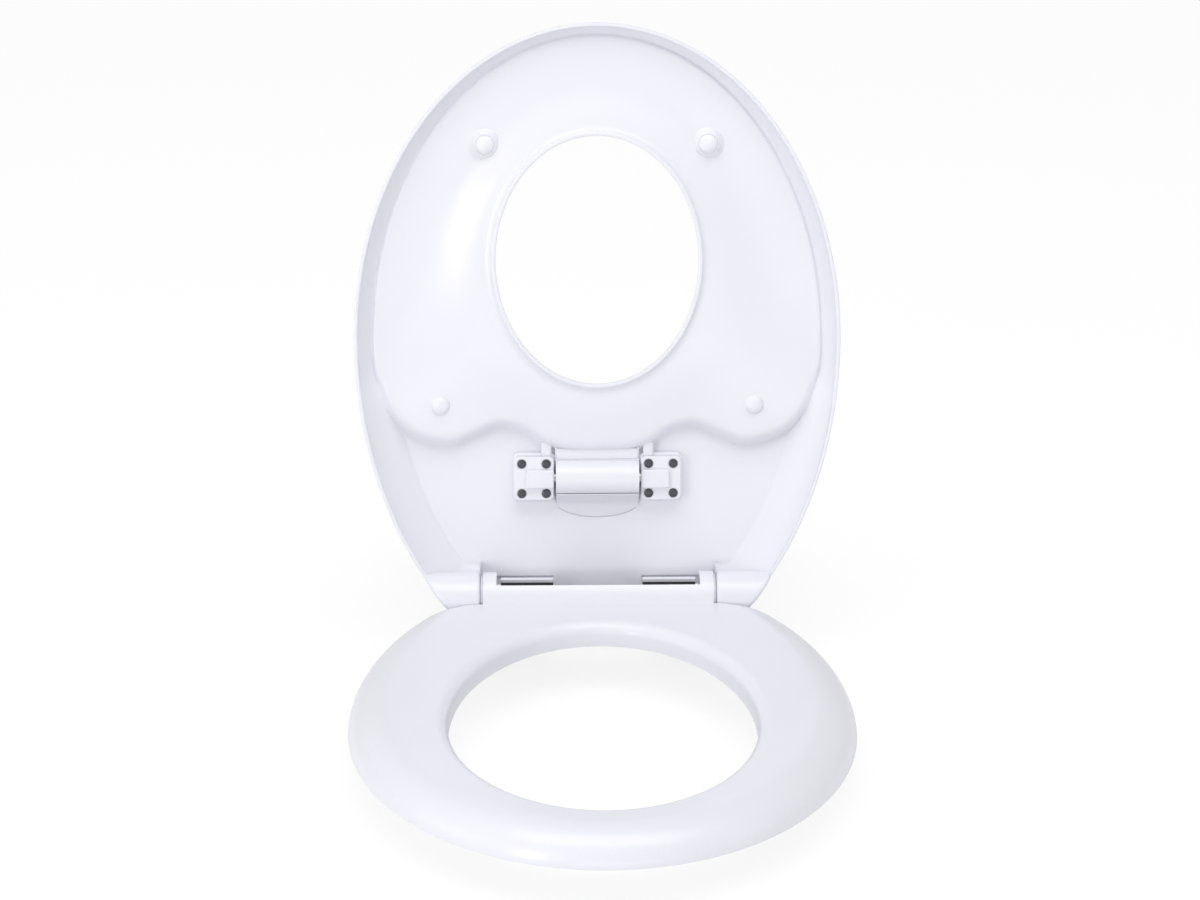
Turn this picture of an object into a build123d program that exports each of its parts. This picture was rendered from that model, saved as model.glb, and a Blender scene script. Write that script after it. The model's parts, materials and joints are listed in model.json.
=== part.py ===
from build123d import *
import os
from math import asin, cos, degrees, radians, sin

# Family toilet seat: an adult ring, a lid that is itself the child seat, and a small cover for it.
# Frame: +Z up, -Y to the front of the seat, X across, in millimetres. The origin lies midway
# between the two bowl fixings, on the rim of the bowl.
# Ring, lid and cover are drawn as they lie when closed: u is the distance forward of the main
# hinge, n the height over its axis. Planes that lean with each piece carry these drawings.

os.makedirs("parts", exist_ok=True)

# Plan of the seat
SEAT_WIDTH = 365.0
PLAN_MID_U = 198.0
PLAN_FRONT = 237.0
PLAN_REAR = 261.0
WALL = 3.5

# Main hinge
AXIS_HEIGHT = 26.0
KNUCKLE_RADIUS = 19.5
LID_OPEN = 100.0
COVER_OPEN = 100.0
SHAFT_RADIUS = 5.0
SHAFT_KEY = 7.0
SHAFT_TIP_RADIUS = 4.5
BUSH_WALL = 2.0
RUN_GAP = 0.05

# Adult ring
RING_TRIM = 1.0
RING_EDGE_HEIGHT = 5.5
RING_TOP_HEIGHT = 29.0
RING_EDGE_RUN = 30.0
RING_REAR_U = 20.5
RING_CORNER = 20.0
HOLE_MID_U = 229.0
HOLE_HALF_WIDTH = 109.5
HOLE_FRONT = 154.0
HOLE_REAR = 168.0
HOLE_ROUND = 9.0
HOLE_LIP_HEIGHT = 11.0
APRON_TOP_ANGLE = 50.0
KNUCKLE_INNER = 76.8
KNUCKLE_WIDTH = 10.3
RIB_COUNT = 20
RIB_WALL = 2.2
RIB_LOW_HEIGHT = 12.0
RING_BUMPERS = {"front": (0.46 * SEAT_WIDTH / 2, 366.0), "rear": (0.663 * SEAT_WIDTH / 2, 106.0)}
RING_BUMPER_RADIUS = 8.0
RING_BOSS_RADIUS = 9.5
RING_BOSS_HEIGHT = 7.0
BUMPER_ROUND = 2.0
BUMPER_DOME = 4.0
PLUG_RADIUS = 3.0
PLUG_LENGTH = 6.0

# Lid and child seat
RIM_DROP = 4.5
DECK_N = 23.8
LID_EDGE_RUN = 24.0
LID_SIDE_RUN = 43.5
LID_SIDE_RISE = 28.0
SIDE_STEPS = 4
NOTCH_INNER = 33.6
NOTCH_U = 15.0
WRAP_ANGLE = 135.0
EAR_INNER = 89.0
EAR_OUTER = 114.0
EAR_ROUND = 5.0
EAR_BORE = 17.5
EAR_FRONT_U = 19.3
EAR_WALL_U = 23.0
RING_CLEAR = 0.6
CHILD_INSET = 15.0
CHILD_WAVE = ((180.0, 184.0), (157.0, 142.0), (112.0, 117.0), (74.0, 131.0), (36.0, 113.0))
CHILD_WAVE_MID_U = 110.5
WAVE_STEPS = 16
CHILD_EDGE_ROUND = 4.0
FLANGE_N = 10.6
FUNNEL_N = 1.5
FUNNEL_RADIUS = 900.0
CHILD_HOLE_U = 257.0
CHILD_HOLE_HALF_WIDTH = 76.0
CHILD_HOLE_HALF_LENGTH = 93.5
LIP_WALL = 3.3
LIP_N = 0.0
LIP_TOP_N = 7.5
LID_BUMPERS = {
    "front": (0.457 * SEAT_WIDTH / 2, 343.6, 10.0),
    "rear": (0.648 * SEAT_WIDTH / 2, 146.7, 13.0),
}
LID_BUMPER_RADIUS = 7.5
LID_BOSS_N = 7.6

# Hinge of the small cover
COVER_AXIS_U = 90.0
COVER_AXIS_N = 12.0
BARREL_RADIUS = 13.5
BARREL_HALF = 31.4
BARREL_CLEAR = 0.6
BRACKET_GAP = 1.6
BRACKET_WIDTH = 30.0
BRACKET_LENGTH = 33.4
BRACKET_PLATE = 3.5
BRACKET_ROUND = 4.0
BRACKET_RISE = 4.0
BRACKET_RISE_WIDTH = 23.0
BRACKET_RISE_LENGTH = 16.0
BRACKET_TAPER = 20.0
BRACKET_RIB_X = 38.5
BRACKET_RIB_WIDTH = 8.0
BRACKET_SCREW_X = 18.6
BRACKET_SCREW_U = 22.7
SCREW_HEAD_RADIUS = 3.3
SCREW_HEAD_RECESS = 0.6
SCREW_HEAD_TAPER = 25.0
SCREW_SHANK_RADIUS = 1.5
SCREW_LENGTH = 10.0
COVER_PIN_RADIUS = 4.0
COVER_DAMPER_RADIUS = 6.5
COVER_DAMPER_LENGTH = 25.0
PIN_IN_BRACKET = 19.0
D_REAR_U = 56.0
D_SIDE_U = 69.0
D_DEPTH = 1.7
D_SLOPE = 3.0

# Small cover
COVER_GAP = 1.2
COVER_WALL = 2.5
COVER_SKIRT = 6.0
ARM_HALF = 28.0
ARM_THICK = 8.0
ARM_REACH = 12.0
COVER_BUMPERS = {"front": (0.438 * SEAT_WIDTH / 2, 352.0), "rear": (0.52 * SEAT_WIDTH / 2, 168.0)}
COVER_BUMPER_RADIUS = 5.0
COVER_BUMPER_GAP = 0.9

# Hinge posts, base plates and bowl fixings
FIXING_SPACING = 155.0
POST_X = 53.75
POST_WIDTH = 39.7
POST_BARREL_RADIUS = 12.7
POST_FRONT = 15.0
POST_REAR = 14.0
DAMPER_RADIUS = 9.5
DAMPER_LENGTH = 34.0
GASKET_THICK = 1.0
PLATE_THICK = 3.0
PLATE_LENGTH = 64.0
PLATE_WIDTH = 33.0
PLATE_X = 65.0
PLATE_CORNER = 16.4
STUD_NECK_RADIUS = 4.0
STUD_NECK_HEIGHT = 4.2
STUD_HEAD_RADIUS = 6.0
STUD_HEAD_HEIGHT = 3.0
LATCH_GAP = 0.3
LATCH_THICK = 2.0
LATCH_LOW = 1.6
BUTTON_WIDTH = 18.0
BUTTON_TRAVEL = 4.0
BUTTON_HEIGHT = 7.4
BUTTON_DEPTH = 5.5
SPRING_RADIUS = 1.7
SPRING_WIRE = 0.5
SPRING_TURNS = 4
SPRING_SEAT_DEPTH = 4.0
FIXING_SHANK_RADIUS = 3.0
FIXING_LENGTH = 14.0
SLEEVE_RADIUS = 6.75
SLEEVE_LENGTH = 25.0
GASKET_HOLE_RADIUS = 8.8
NUT_RADIUS = 5.0
NUT_THICK = 5.0

# Worked out from the dimensions above
RING_EDGE_N = RING_EDGE_HEIGHT - AXIS_HEIGHT
RING_TOP_N = RING_TOP_HEIGHT - AXIS_HEIGHT
PANEL_N = DECK_N - WALL
BRACKET_INNER = BARREL_HALF + BRACKET_GAP
KNUCKLE_X = KNUCKLE_INNER + KNUCKLE_WIDTH / 2
PLATE_TOP = GASKET_THICK + PLATE_THICK
POST_OUTER = POST_X + POST_WIDTH / 2
SCREEN = 300.0
SIDES = {"left": -1, "right": 1}


def flat_plane(opening, y=0.0, z=AXIS_HEIGHT):
    """Plane of the plan drawings of a piece that is open by an angle: local x is -X, local y is u."""
    lean = radians(opening)
    return Plane(origin=(0, y, z), x_dir=(-1, 0, 0), z_dir=(0, sin(lean), cos(lean)))


def side_plane(flat, x):
    """Plane of the side drawings of the same piece at a place across: local x is u, local y is n."""
    return Plane(origin=flat.origin + Vector(x, 0, 0), x_dir=flat.y_dir, z_dir=(-1, 0, 0))


def egg(half_width, front, rear, mid_u):
    """Outline of two half ellipses that meet where the seat is widest."""
    with BuildSketch() as outline:
        with BuildLine():
            EllipticalCenterArc((0, mid_u), half_width, front, start_angle=0, arc_size=180)
            EllipticalCenterArc((0, mid_u), half_width, rear, start_angle=180, arc_size=180)
        make_face()
    return outline.sketch


def plan(inset):
    """Outline of the seat, drawn in by an inset."""
    return egg(SEAT_WIDTH / 2 - inset, PLAN_FRONT - inset, PLAN_REAR - inset, PLAN_MID_U)


def quarter_turn(steps):
    """Sine and one minus cosine along a rounded edge, from the rim to the crown."""
    turns = [radians(90 * step / steps) for step in range(steps + 1)]
    return [(sin(turn), 1 - cos(turn)) for turn in turns]


def ring_outline(inset, corner):
    """Outline of the ring, cut straight behind, with round corners."""
    with BuildSketch() as outline:
        add(plan(inset))
        with Locations((0, RING_REAR_U - SCREEN)):
            Rectangle(2 * SCREEN, 2 * SCREEN, mode=Mode.SUBTRACT)
        fillet(outline.vertices().group_by(Axis.Y)[0], corner)
    return outline.sketch


def hole_outline(grow):
    """Outline of the ring's opening, let out by a margin."""
    return egg(HOLE_HALF_WIDTH + grow, HOLE_FRONT + grow, HOLE_REAR + grow, HOLE_MID_U)


def child_outline(inset):
    """Outline of the child seat: the seat's own curve in front, a wave behind, drawn in by an inset."""
    with BuildLine() as rear:
        Spline(*CHILD_WAVE, (0, CHILD_WAVE_MID_U), *[(-x, u) for x, u in reversed(CHILD_WAVE)])
    wave = rear.edge()
    steps = [step / WAVE_STEPS for step in range(WAVE_STEPS + 1)]
    drawn_in = [wave @ step + (wave % step).rotate(Axis.Z, -90) * inset for step in steps]
    with BuildSketch() as outline:
        add(plan(CHILD_INSET + inset))
        with BuildLine():
            Spline(*drawn_in)
            Polyline(drawn_in[-1], (-SCREEN, 2 * SCREEN), (SCREEN, 2 * SCREEN), drawn_in[0])
        make_face(mode=Mode.INTERSECT)
    return outline.sketch


def key_section(radius, key):
    """Round shaft with two flats."""
    Circle(radius)
    Rectangle(2 * radius, key, mode=Mode.INTERSECT)


ring_flat = flat_plane(0)
lid_flat = flat_plane(LID_OPEN)
cover_pivot = lid_flat.from_local_coords((0, COVER_AXIS_U, COVER_AXIS_N))
cover_lean = flat_plane(LID_OPEN + COVER_OPEN, cover_pivot.Y, cover_pivot.Z)
cover_flat = Plane(
    origin=cover_lean.from_local_coords((0, -COVER_AXIS_U, -COVER_AXIS_N)),
    x_dir=cover_lean.x_dir,
    z_dir=cover_lean.z_dir,
)

# Space under the ring's skin
with BuildPart() as ring_cavity:
    for rise, run in quarter_turn(5):
        height = RING_EDGE_N + (RING_TOP_N - WALL - RING_EDGE_N) * rise
        with BuildSketch(ring_flat.offset(height)):
            add(plan(RING_TRIM + WALL + (RING_EDGE_RUN - WALL) * run))
    loft()
    with BuildSketch(ring_flat.offset(RING_EDGE_N)):
        with Locations((0, RING_REAR_U + WALL - SCREEN)):
            Rectangle(2 * SCREEN, 2 * SCREEN)
        add(hole_outline(WALL))
    extrude(amount=RING_TOP_N - RING_EDGE_N, mode=Mode.SUBTRACT)

# Ribs and bumper bosses in that space
with BuildPart() as ring_ribs:
    with BuildSketch(ring_flat.offset(RIB_LOW_HEIGHT - AXIS_HEIGHT)):
        with Locations((0, HOLE_MID_U)):
            with PolarLocations(0, RIB_COUNT, start_angle=180 / RIB_COUNT):
                Rectangle(SCREEN, RIB_WALL, align=(Align.MIN, Align.CENTER))
    extrude(amount=RING_TOP_HEIGHT - RIB_LOW_HEIGHT)
    with BuildSketch(ring_flat.offset(RING_BOSS_HEIGHT - AXIS_HEIGHT)):
        for x, u in RING_BUMPERS.values():
            with Locations((x, u), (-x, u)):
                Circle(RING_BOSS_RADIUS)
    extrude(amount=RING_TOP_HEIGHT - RING_BOSS_HEIGHT)
    add(ring_cavity.part, mode=Mode.INTERSECT)

# Adult ring
with BuildPart() as seat_ring:
    for rise, run in quarter_turn(5):
        with BuildSketch(ring_flat.offset(RING_EDGE_N + (RING_TOP_N - RING_EDGE_N) * rise)):
            add(ring_outline(RING_TRIM + RING_EDGE_RUN * run, RING_CORNER))
    loft()
    with BuildSketch(ring_flat.offset(RING_EDGE_N)):
        add(hole_outline(0))
    extrude(amount=RING_TOP_N - RING_EDGE_N, mode=Mode.SUBTRACT)
    for rise, run in quarter_turn(4):
        with BuildSketch(ring_flat.offset(RING_TOP_N - HOLE_ROUND + HOLE_ROUND * rise)):
            add(hole_outline(HOLE_ROUND * run))
    loft(mode=Mode.SUBTRACT)
    add(ring_cavity.part, mode=Mode.SUBTRACT)
    add(ring_ribs.part)
    with BuildSketch(ring_flat.offset(RING_EDGE_N)):
        add(hole_outline(WALL))
    extrude(amount=HOLE_LIP_HEIGHT - RING_EDGE_HEIGHT, mode=Mode.SUBTRACT)
    # Rear beam and apron over the hinge posts
    apron_low = degrees(asin(RING_TOP_N / KNUCKLE_RADIUS))
    with BuildSketch(side_plane(ring_flat, 0)):
        with Locations((RING_REAR_U + WALL / 2, RING_TOP_N)):
            beam_depth = RING_REAR_U + WALL / 2 - KNUCKLE_RADIUS + WALL
            Rectangle(beam_depth, RING_TOP_N - RING_EDGE_N, align=(Align.MAX, Align.MAX))
        with BuildLine():
            CenterArc((0, 0), KNUCKLE_RADIUS, apron_low, APRON_TOP_ANGLE - apron_low)
            CenterArc((0, 0), KNUCKLE_RADIUS - WALL, apron_low, APRON_TOP_ANGLE - apron_low)
            for angle in (apron_low, APRON_TOP_ANGLE):
                spoke = Vector(cos(radians(angle)), sin(radians(angle)))
                Line(spoke * (KNUCKLE_RADIUS - WALL), spoke * KNUCKLE_RADIUS)
        make_face()
        Circle(KNUCKLE_RADIUS - WALL, mode=Mode.SUBTRACT)
    extrude(amount=KNUCKLE_INNER + KNUCKLE_WIDTH, both=True)
    # Knuckles
    for x in (-KNUCKLE_X, KNUCKLE_X):
        with BuildSketch(side_plane(ring_flat, x)):
            Circle(KNUCKLE_RADIUS)
            with Locations((0, RING_TOP_N)):
                Rectangle(
                    RING_REAR_U,
                    RING_TOP_N + KNUCKLE_RADIUS,
                    align=(Align.MIN, Align.MAX),
                )
        extrude(amount=KNUCKLE_WIDTH / 2, both=True)
    with BuildSketch(side_plane(ring_flat, KNUCKLE_X)):
        Circle(SHAFT_RADIUS + BUSH_WALL)
    extrude(amount=KNUCKLE_WIDTH / 2, both=True, mode=Mode.SUBTRACT)
    with BuildSketch(side_plane(ring_flat, -KNUCKLE_X)):
        key_section(SHAFT_RADIUS, SHAFT_KEY)
    extrude(amount=KNUCKLE_WIDTH / 2, both=True, mode=Mode.SUBTRACT)
    # Holes for the bumpers' plugs
    with BuildSketch(ring_flat.offset(RING_BOSS_HEIGHT - AXIS_HEIGHT)):
        for x, u in RING_BUMPERS.values():
            with Locations((x, u), (-x, u)):
                Circle(PLUG_RADIUS)
    extrude(amount=PLUG_LENGTH, mode=Mode.SUBTRACT)
seat_ring.part.label = "seat_ring"
export_step(seat_ring.part, "parts/seat_ring.step")

# Bumpers under the ring
for place, (x, u) in RING_BUMPERS.items():
    for side, sign in SIDES.items():
        with BuildPart() as ring_bumper:
            with BuildSketch(Plane.XY):
                with Locations((sign * x, -u)):
                    Circle(RING_BUMPER_RADIUS)
            extrude(amount=RING_BOSS_HEIGHT)
            fillet(ring_bumper.edges().group_by(Axis.Z)[0], BUMPER_ROUND)
            with BuildSketch(Plane.XY.offset(RING_BOSS_HEIGHT)):
                with Locations((sign * x, -u)):
                    Circle(PLUG_RADIUS)
            extrude(amount=PLUG_LENGTH)
        name = f"ring_bumper_{place}_{side}"
        ring_bumper.part.label = name
        export_step(ring_bumper.part, f"parts/{name}.step")

# Body of the child seat as seen from below, and the dish in its top: a funnel round the opening
# inside a flat flange, one wall apart
child_skins = {}
for skin, inset, lift, edge_round in (("under", 0.0, 0.0, CHILD_EDGE_ROUND), ("dish", WALL, WALL, WALL)):
    flange_n = FLANGE_N + lift
    with BuildPart() as below_flange:
        with BuildSketch(lid_flat.offset(LIP_N)):
            add(child_outline(inset + edge_round))
        extrude(amount=flange_n - LIP_N)
        with Locations(lid_flat.from_local_coords((0, CHILD_HOLE_U, FUNNEL_N + FUNNEL_RADIUS))):
            Sphere(FUNNEL_RADIUS - lift, mode=Mode.INTERSECT)
    with BuildPart() as child_skin:
        for rise, run in quarter_turn(3):
            with BuildSketch(lid_flat.offset(flange_n + edge_round * run)):
                add(child_outline(inset + edge_round * (1 - rise)))
        loft(ruled=True)
        with BuildSketch(lid_flat.offset(flange_n + edge_round)):
            add(child_outline(inset))
        extrude(amount=DECK_N + lift - flange_n - edge_round)
        add(below_flange.part)
    child_skins[skin] = child_skin.part

# Space under the lid's skin, closed off at the ears
with BuildPart() as lid_cavity:
    side_turn = asin((PANEL_N + RIM_DROP) / LID_SIDE_RISE)
    for step in range(SIDE_STEPS + 1):
        turn = side_turn * step / SIDE_STEPS
        with BuildSketch(lid_flat.offset(-RIM_DROP + LID_SIDE_RISE * sin(turn))):
            add(plan(WALL + LID_SIDE_RUN * (1 - cos(turn))))
    loft()
    for sign in SIDES.values():
        with BuildSketch(lid_flat.offset(-RIM_DROP)):
            with Locations((sign * (EAR_INNER + SCREEN / 2), EAR_FRONT_U - SCREEN / 2)):
                Rectangle(SCREEN, SCREEN)
        extrude(amount=DECK_N + RIM_DROP, mode=Mode.SUBTRACT)
        with BuildSketch(lid_flat.offset(RING_TOP_N + RING_CLEAR)):
            with Locations((sign * (EAR_INNER + SCREEN / 2), EAR_WALL_U - SCREEN / 2)):
                Rectangle(SCREEN, SCREEN)
        extrude(amount=DECK_N, mode=Mode.SUBTRACT)
    add(child_skins["under"], mode=Mode.SUBTRACT)

# Lid with the child seat
pedestal_n = COVER_AXIS_N
arm_slot_rear = COVER_AXIS_U - BARREL_RADIUS - 2 * BARREL_CLEAR
arm_slot_front = CHILD_WAVE_MID_U + WALL + COVER_GAP
bracket_x = BRACKET_INNER + BRACKET_WIDTH / 2
with BuildPart() as lid_seat:
    for rise, run in quarter_turn(5):
        with BuildSketch(lid_flat.offset(-RIM_DROP + (DECK_N + RIM_DROP) * rise)):
            add(plan(LID_EDGE_RUN * run))
    loft()
    with BuildSketch(lid_flat):
        with Locations((0, -SCREEN)):
            Rectangle(2 * SCREEN, 2 * SCREEN)
    extrude(amount=SCREEN, both=True, mode=Mode.SUBTRACT)
    add(lid_cavity.part, mode=Mode.SUBTRACT)
    add(child_skins["dish"], mode=Mode.SUBTRACT)
    # Ears, and the wrap of the rear edge round the hinge
    for sign in SIDES.values():
        with BuildSketch(side_plane(lid_flat, sign * (EAR_INNER + EAR_OUTER) / 2)):
            Circle(KNUCKLE_RADIUS)
        extrude(amount=(EAR_OUTER - EAR_INNER) / 2, both=True)
    with BuildSketch(side_plane(lid_flat, 0)):
        with BuildLine():
            CenterArc((0, 0), DECK_N, 90, WRAP_ANGLE - 90)
            CenterArc((0, 0), PANEL_N - WALL, 90, WRAP_ANGLE - 90)
            for angle in (90, WRAP_ANGLE):
                spoke = Vector(cos(radians(angle)), sin(radians(angle)))
                Line(spoke * (PANEL_N - WALL), spoke * DECK_N)
        make_face()
    extrude(amount=EAR_OUTER - EAR_ROUND, both=True)
    with BuildSketch(side_plane(lid_flat, 0)):
        Circle(PANEL_N)
    extrude(amount=EAR_INNER, both=True, mode=Mode.SUBTRACT)
    for sign in SIDES.values():
        with BuildSketch(lid_flat.offset(-SCREEN)):
            notch_x = (NOTCH_INNER + EAR_INNER) / 2
            with Locations((sign * notch_x, NOTCH_U - SCREEN / 2)):
                Rectangle(EAR_INNER - NOTCH_INNER, SCREEN)
        extrude(amount=2 * SCREEN, mode=Mode.SUBTRACT)
    # Lip round the child's opening
    with BuildSketch(lid_flat.offset(LIP_N)):
        with Locations((0, CHILD_HOLE_U)):
            Ellipse(CHILD_HOLE_HALF_WIDTH + LIP_WALL, CHILD_HOLE_HALF_LENGTH + LIP_WALL)
    extrude(amount=LIP_TOP_N - LIP_N)
    with BuildSketch(lid_flat.offset(LIP_N)):
        with Locations((0, CHILD_HOLE_U)):
            Ellipse(CHILD_HOLE_HALF_WIDTH, CHILD_HOLE_HALF_LENGTH)
    extrude(amount=DECK_N - LIP_N, mode=Mode.SUBTRACT)
    # Bosses of the bumpers
    for x, u, boss in LID_BUMPERS.values():
        with BuildSketch(lid_flat.offset(LID_BOSS_N)):
            with Locations((x, u), (-x, u)):
                Circle(boss)
        extrude(amount=FLANGE_N - LID_BOSS_N + WALL / 2)
        with BuildSketch(lid_flat.offset(LID_BOSS_N)):
            with Locations((x, u), (-x, u)):
                Circle(PLUG_RADIUS)
        extrude(amount=WALL, mode=Mode.SUBTRACT)
    # Pedestals of the small cover's brackets
    with BuildSketch(lid_flat.offset(pedestal_n)):
        with Locations((bracket_x, COVER_AXIS_U), (-bracket_x, COVER_AXIS_U)):
            RectangleRounded(BRACKET_WIDTH - 1, BRACKET_LENGTH - 1, BRACKET_ROUND)
        with Locations((BRACKET_RIB_X, COVER_AXIS_U), (-BRACKET_RIB_X, COVER_AXIS_U)):
            Rectangle(BRACKET_RIB_WIDTH, arm_slot_front - COVER_AXIS_U, align=(Align.CENTER, Align.MIN))
    extrude(amount=PANEL_N - pedestal_n)
    # Opening for the barrel and for the cover's arm as it turns
    with BuildSketch(side_plane(lid_flat, 0)):
        with Locations((COVER_AXIS_U, COVER_AXIS_N)):
            Circle(BARREL_RADIUS + BARREL_CLEAR)
        with Locations((arm_slot_rear, DECK_N - ARM_THICK - BARREL_CLEAR)):
            Rectangle(arm_slot_front - arm_slot_rear, 2 * ARM_THICK, align=(Align.MIN, Align.MIN))
    extrude(amount=BARREL_HALF + BARREL_CLEAR, both=True, mode=Mode.SUBTRACT)
    # Shallow recess behind the barrel
    for depth, slope in ((0, 0), (D_DEPTH, D_SLOPE)):
        with BuildSketch(lid_flat.offset(PANEL_N + depth)):
            half = BARREL_HALF + BARREL_CLEAR - slope
            front_u = COVER_AXIS_U - BARREL_RADIUS / 2
            with BuildLine():
                ThreePointArc((-half, D_SIDE_U), (0, D_REAR_U + slope), (half, D_SIDE_U))
                Polyline((half, D_SIDE_U), (half, front_u), (-half, front_u), (-half, D_SIDE_U))
            make_face()
    loft(mode=Mode.SUBTRACT)
    # Bores for the shafts, the cover's pins and the bracket screws
    with BuildSketch(side_plane(lid_flat, -(EAR_INNER + EAR_BORE / 2))):
        Circle(SHAFT_TIP_RADIUS + BUSH_WALL)
    extrude(amount=EAR_BORE / 2, both=True, mode=Mode.SUBTRACT)
    with BuildSketch(side_plane(lid_flat, EAR_INNER + EAR_BORE / 2)):
        key_section(SHAFT_RADIUS, SHAFT_KEY)
    extrude(amount=EAR_BORE / 2, both=True, mode=Mode.SUBTRACT)
    with BuildSketch(side_plane(lid_flat, 0)):
        with Locations((COVER_AXIS_U, COVER_AXIS_N)):
            Circle(COVER_PIN_RADIUS)
    extrude(amount=BRACKET_INNER + PIN_IN_BRACKET, mode=Mode.SUBTRACT)
    with BuildSketch(side_plane(lid_flat, 0)):
        with Locations((COVER_AXIS_U, COVER_AXIS_N)):
            Circle(COVER_PIN_RADIUS)
    extrude(amount=-(BRACKET_INNER + PIN_IN_BRACKET), mode=Mode.SUBTRACT)
    with BuildSketch(lid_flat.offset(pedestal_n)):
        with Locations((bracket_x, COVER_AXIS_U), (-bracket_x, COVER_AXIS_U)):
            with GridLocations(BRACKET_SCREW_X, BRACKET_SCREW_U, 2, 2):
                Circle(SCREW_SHANK_RADIUS)
    extrude(amount=SCREW_LENGTH - BRACKET_PLATE + SCREW_HEAD_RECESS, mode=Mode.SUBTRACT)
lid_seat.part.label = "lid_seat"
export_step(lid_seat.part, "parts/lid_seat.step")

# Bumpers of the lid, which land on the ring's crown
for place, (x, u, boss) in LID_BUMPERS.items():
    for side, sign in SIDES.items():
        tip_n = RING_TOP_N + RING_CLEAR / 2
        with BuildPart() as lid_bumper:
            with BuildSketch(lid_flat.offset(LID_BOSS_N)):
                with Locations((-sign * x, u)):
                    Circle(LID_BUMPER_RADIUS)
            extrude(amount=tip_n - LID_BOSS_N)
            rings = lid_bumper.edges().filter_by(GeomType.CIRCLE)
            tip = lid_flat.from_local_coords((-sign * x, u, tip_n))
            fillet(rings.sort_by_distance(tip)[0], BUMPER_DOME)
            with BuildSketch(lid_flat.offset(LID_BOSS_N)):
                with Locations((-sign * x, u)):
                    Circle(PLUG_RADIUS)
            extrude(amount=WALL)
        name = f"lid_bumper_{place}_{side}"
        lid_bumper.part.label = name
        export_step(lid_bumper.part, f"parts/{name}.step")

# Brackets that hold the small cover's pins, and their screws
for side, sign in SIDES.items():
    centre = (-sign * bracket_x, COVER_AXIS_U)
    rise_x = -sign * (BRACKET_INNER + BRACKET_RISE_WIDTH / 2)
    with BuildPart() as bracket:
        with BuildSketch(lid_flat.offset(pedestal_n)):
            with Locations(centre):
                RectangleRounded(BRACKET_WIDTH, BRACKET_LENGTH, BRACKET_ROUND)
        extrude(amount=-BRACKET_PLATE)
        with BuildSketch(lid_flat.offset(pedestal_n - BRACKET_PLATE)):
            with Locations((rise_x, COVER_AXIS_U)):
                RectangleRounded(BRACKET_RISE_WIDTH, BRACKET_RISE_LENGTH, BRACKET_ROUND / 2)
        extrude(amount=-BRACKET_RISE, taper=BRACKET_TAPER)
        with BuildSketch(side_plane(lid_flat, sign * (BRACKET_INNER + PIN_IN_BRACKET / 2))):
            with Locations((COVER_AXIS_U, COVER_AXIS_N)):
                Circle(COVER_PIN_RADIUS)
        extrude(amount=PIN_IN_BRACKET / 2, both=True, mode=Mode.SUBTRACT)
        with BuildSketch(lid_flat.offset(pedestal_n)):
            with Locations(centre):
                with GridLocations(BRACKET_SCREW_X, BRACKET_SCREW_U, 2, 2):
                    Circle(SCREW_SHANK_RADIUS)
        extrude(amount=-BRACKET_PLATE, mode=Mode.SUBTRACT)
        with BuildSketch(lid_flat.offset(pedestal_n - BRACKET_PLATE)):
            with Locations(centre):
                with GridLocations(BRACKET_SCREW_X, BRACKET_SCREW_U, 2, 2):
                    Circle(SCREW_HEAD_RADIUS + LATCH_GAP)
        extrude(amount=SCREW_HEAD_RECESS, mode=Mode.SUBTRACT)
    name = f"hinge_bracket_{side}"
    bracket.part.label = name
    export_step(bracket.part, f"parts/{name}.step")

    with BuildPart() as screws:
        seat_n = pedestal_n - BRACKET_PLATE + SCREW_HEAD_RECESS
        with BuildSketch(lid_flat.offset(seat_n)):
            with Locations(centre):
                with GridLocations(BRACKET_SCREW_X, BRACKET_SCREW_U, 2, 2):
                    Circle(SCREW_HEAD_RADIUS)
        extrude(amount=-2 * SCREW_HEAD_RECESS, taper=SCREW_HEAD_TAPER)
        with BuildSketch(lid_flat.offset(seat_n)):
            with Locations(centre):
                with GridLocations(BRACKET_SCREW_X, BRACKET_SCREW_U, 2, 2):
                    Circle(SCREW_SHANK_RADIUS)
        extrude(amount=SCREW_LENGTH)
    name = f"bracket_screws_{side}"
    screws.part.label = name
    export_step(screws.part, f"parts/{name}.step")

# Plain pin and damper shaft of the small cover, both fixed in the brackets
pin_start = BARREL_HALF - COVER_DAMPER_LENGTH + WALL
pin_end = BRACKET_INNER + PIN_IN_BRACKET
for name, sign in {"cover_pin": 1, "cover_damper_shaft": -1}.items():
    with BuildPart() as pin:
        with BuildSketch(side_plane(lid_flat, sign * (pin_start + pin_end) / 2)):
            with Locations((COVER_AXIS_U, COVER_AXIS_N)):
                Circle(COVER_PIN_RADIUS)
        extrude(amount=(pin_end - pin_start) / 2, both=True)
    pin.part.label = name
    export_step(pin.part, f"parts/{name}.step")

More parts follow.
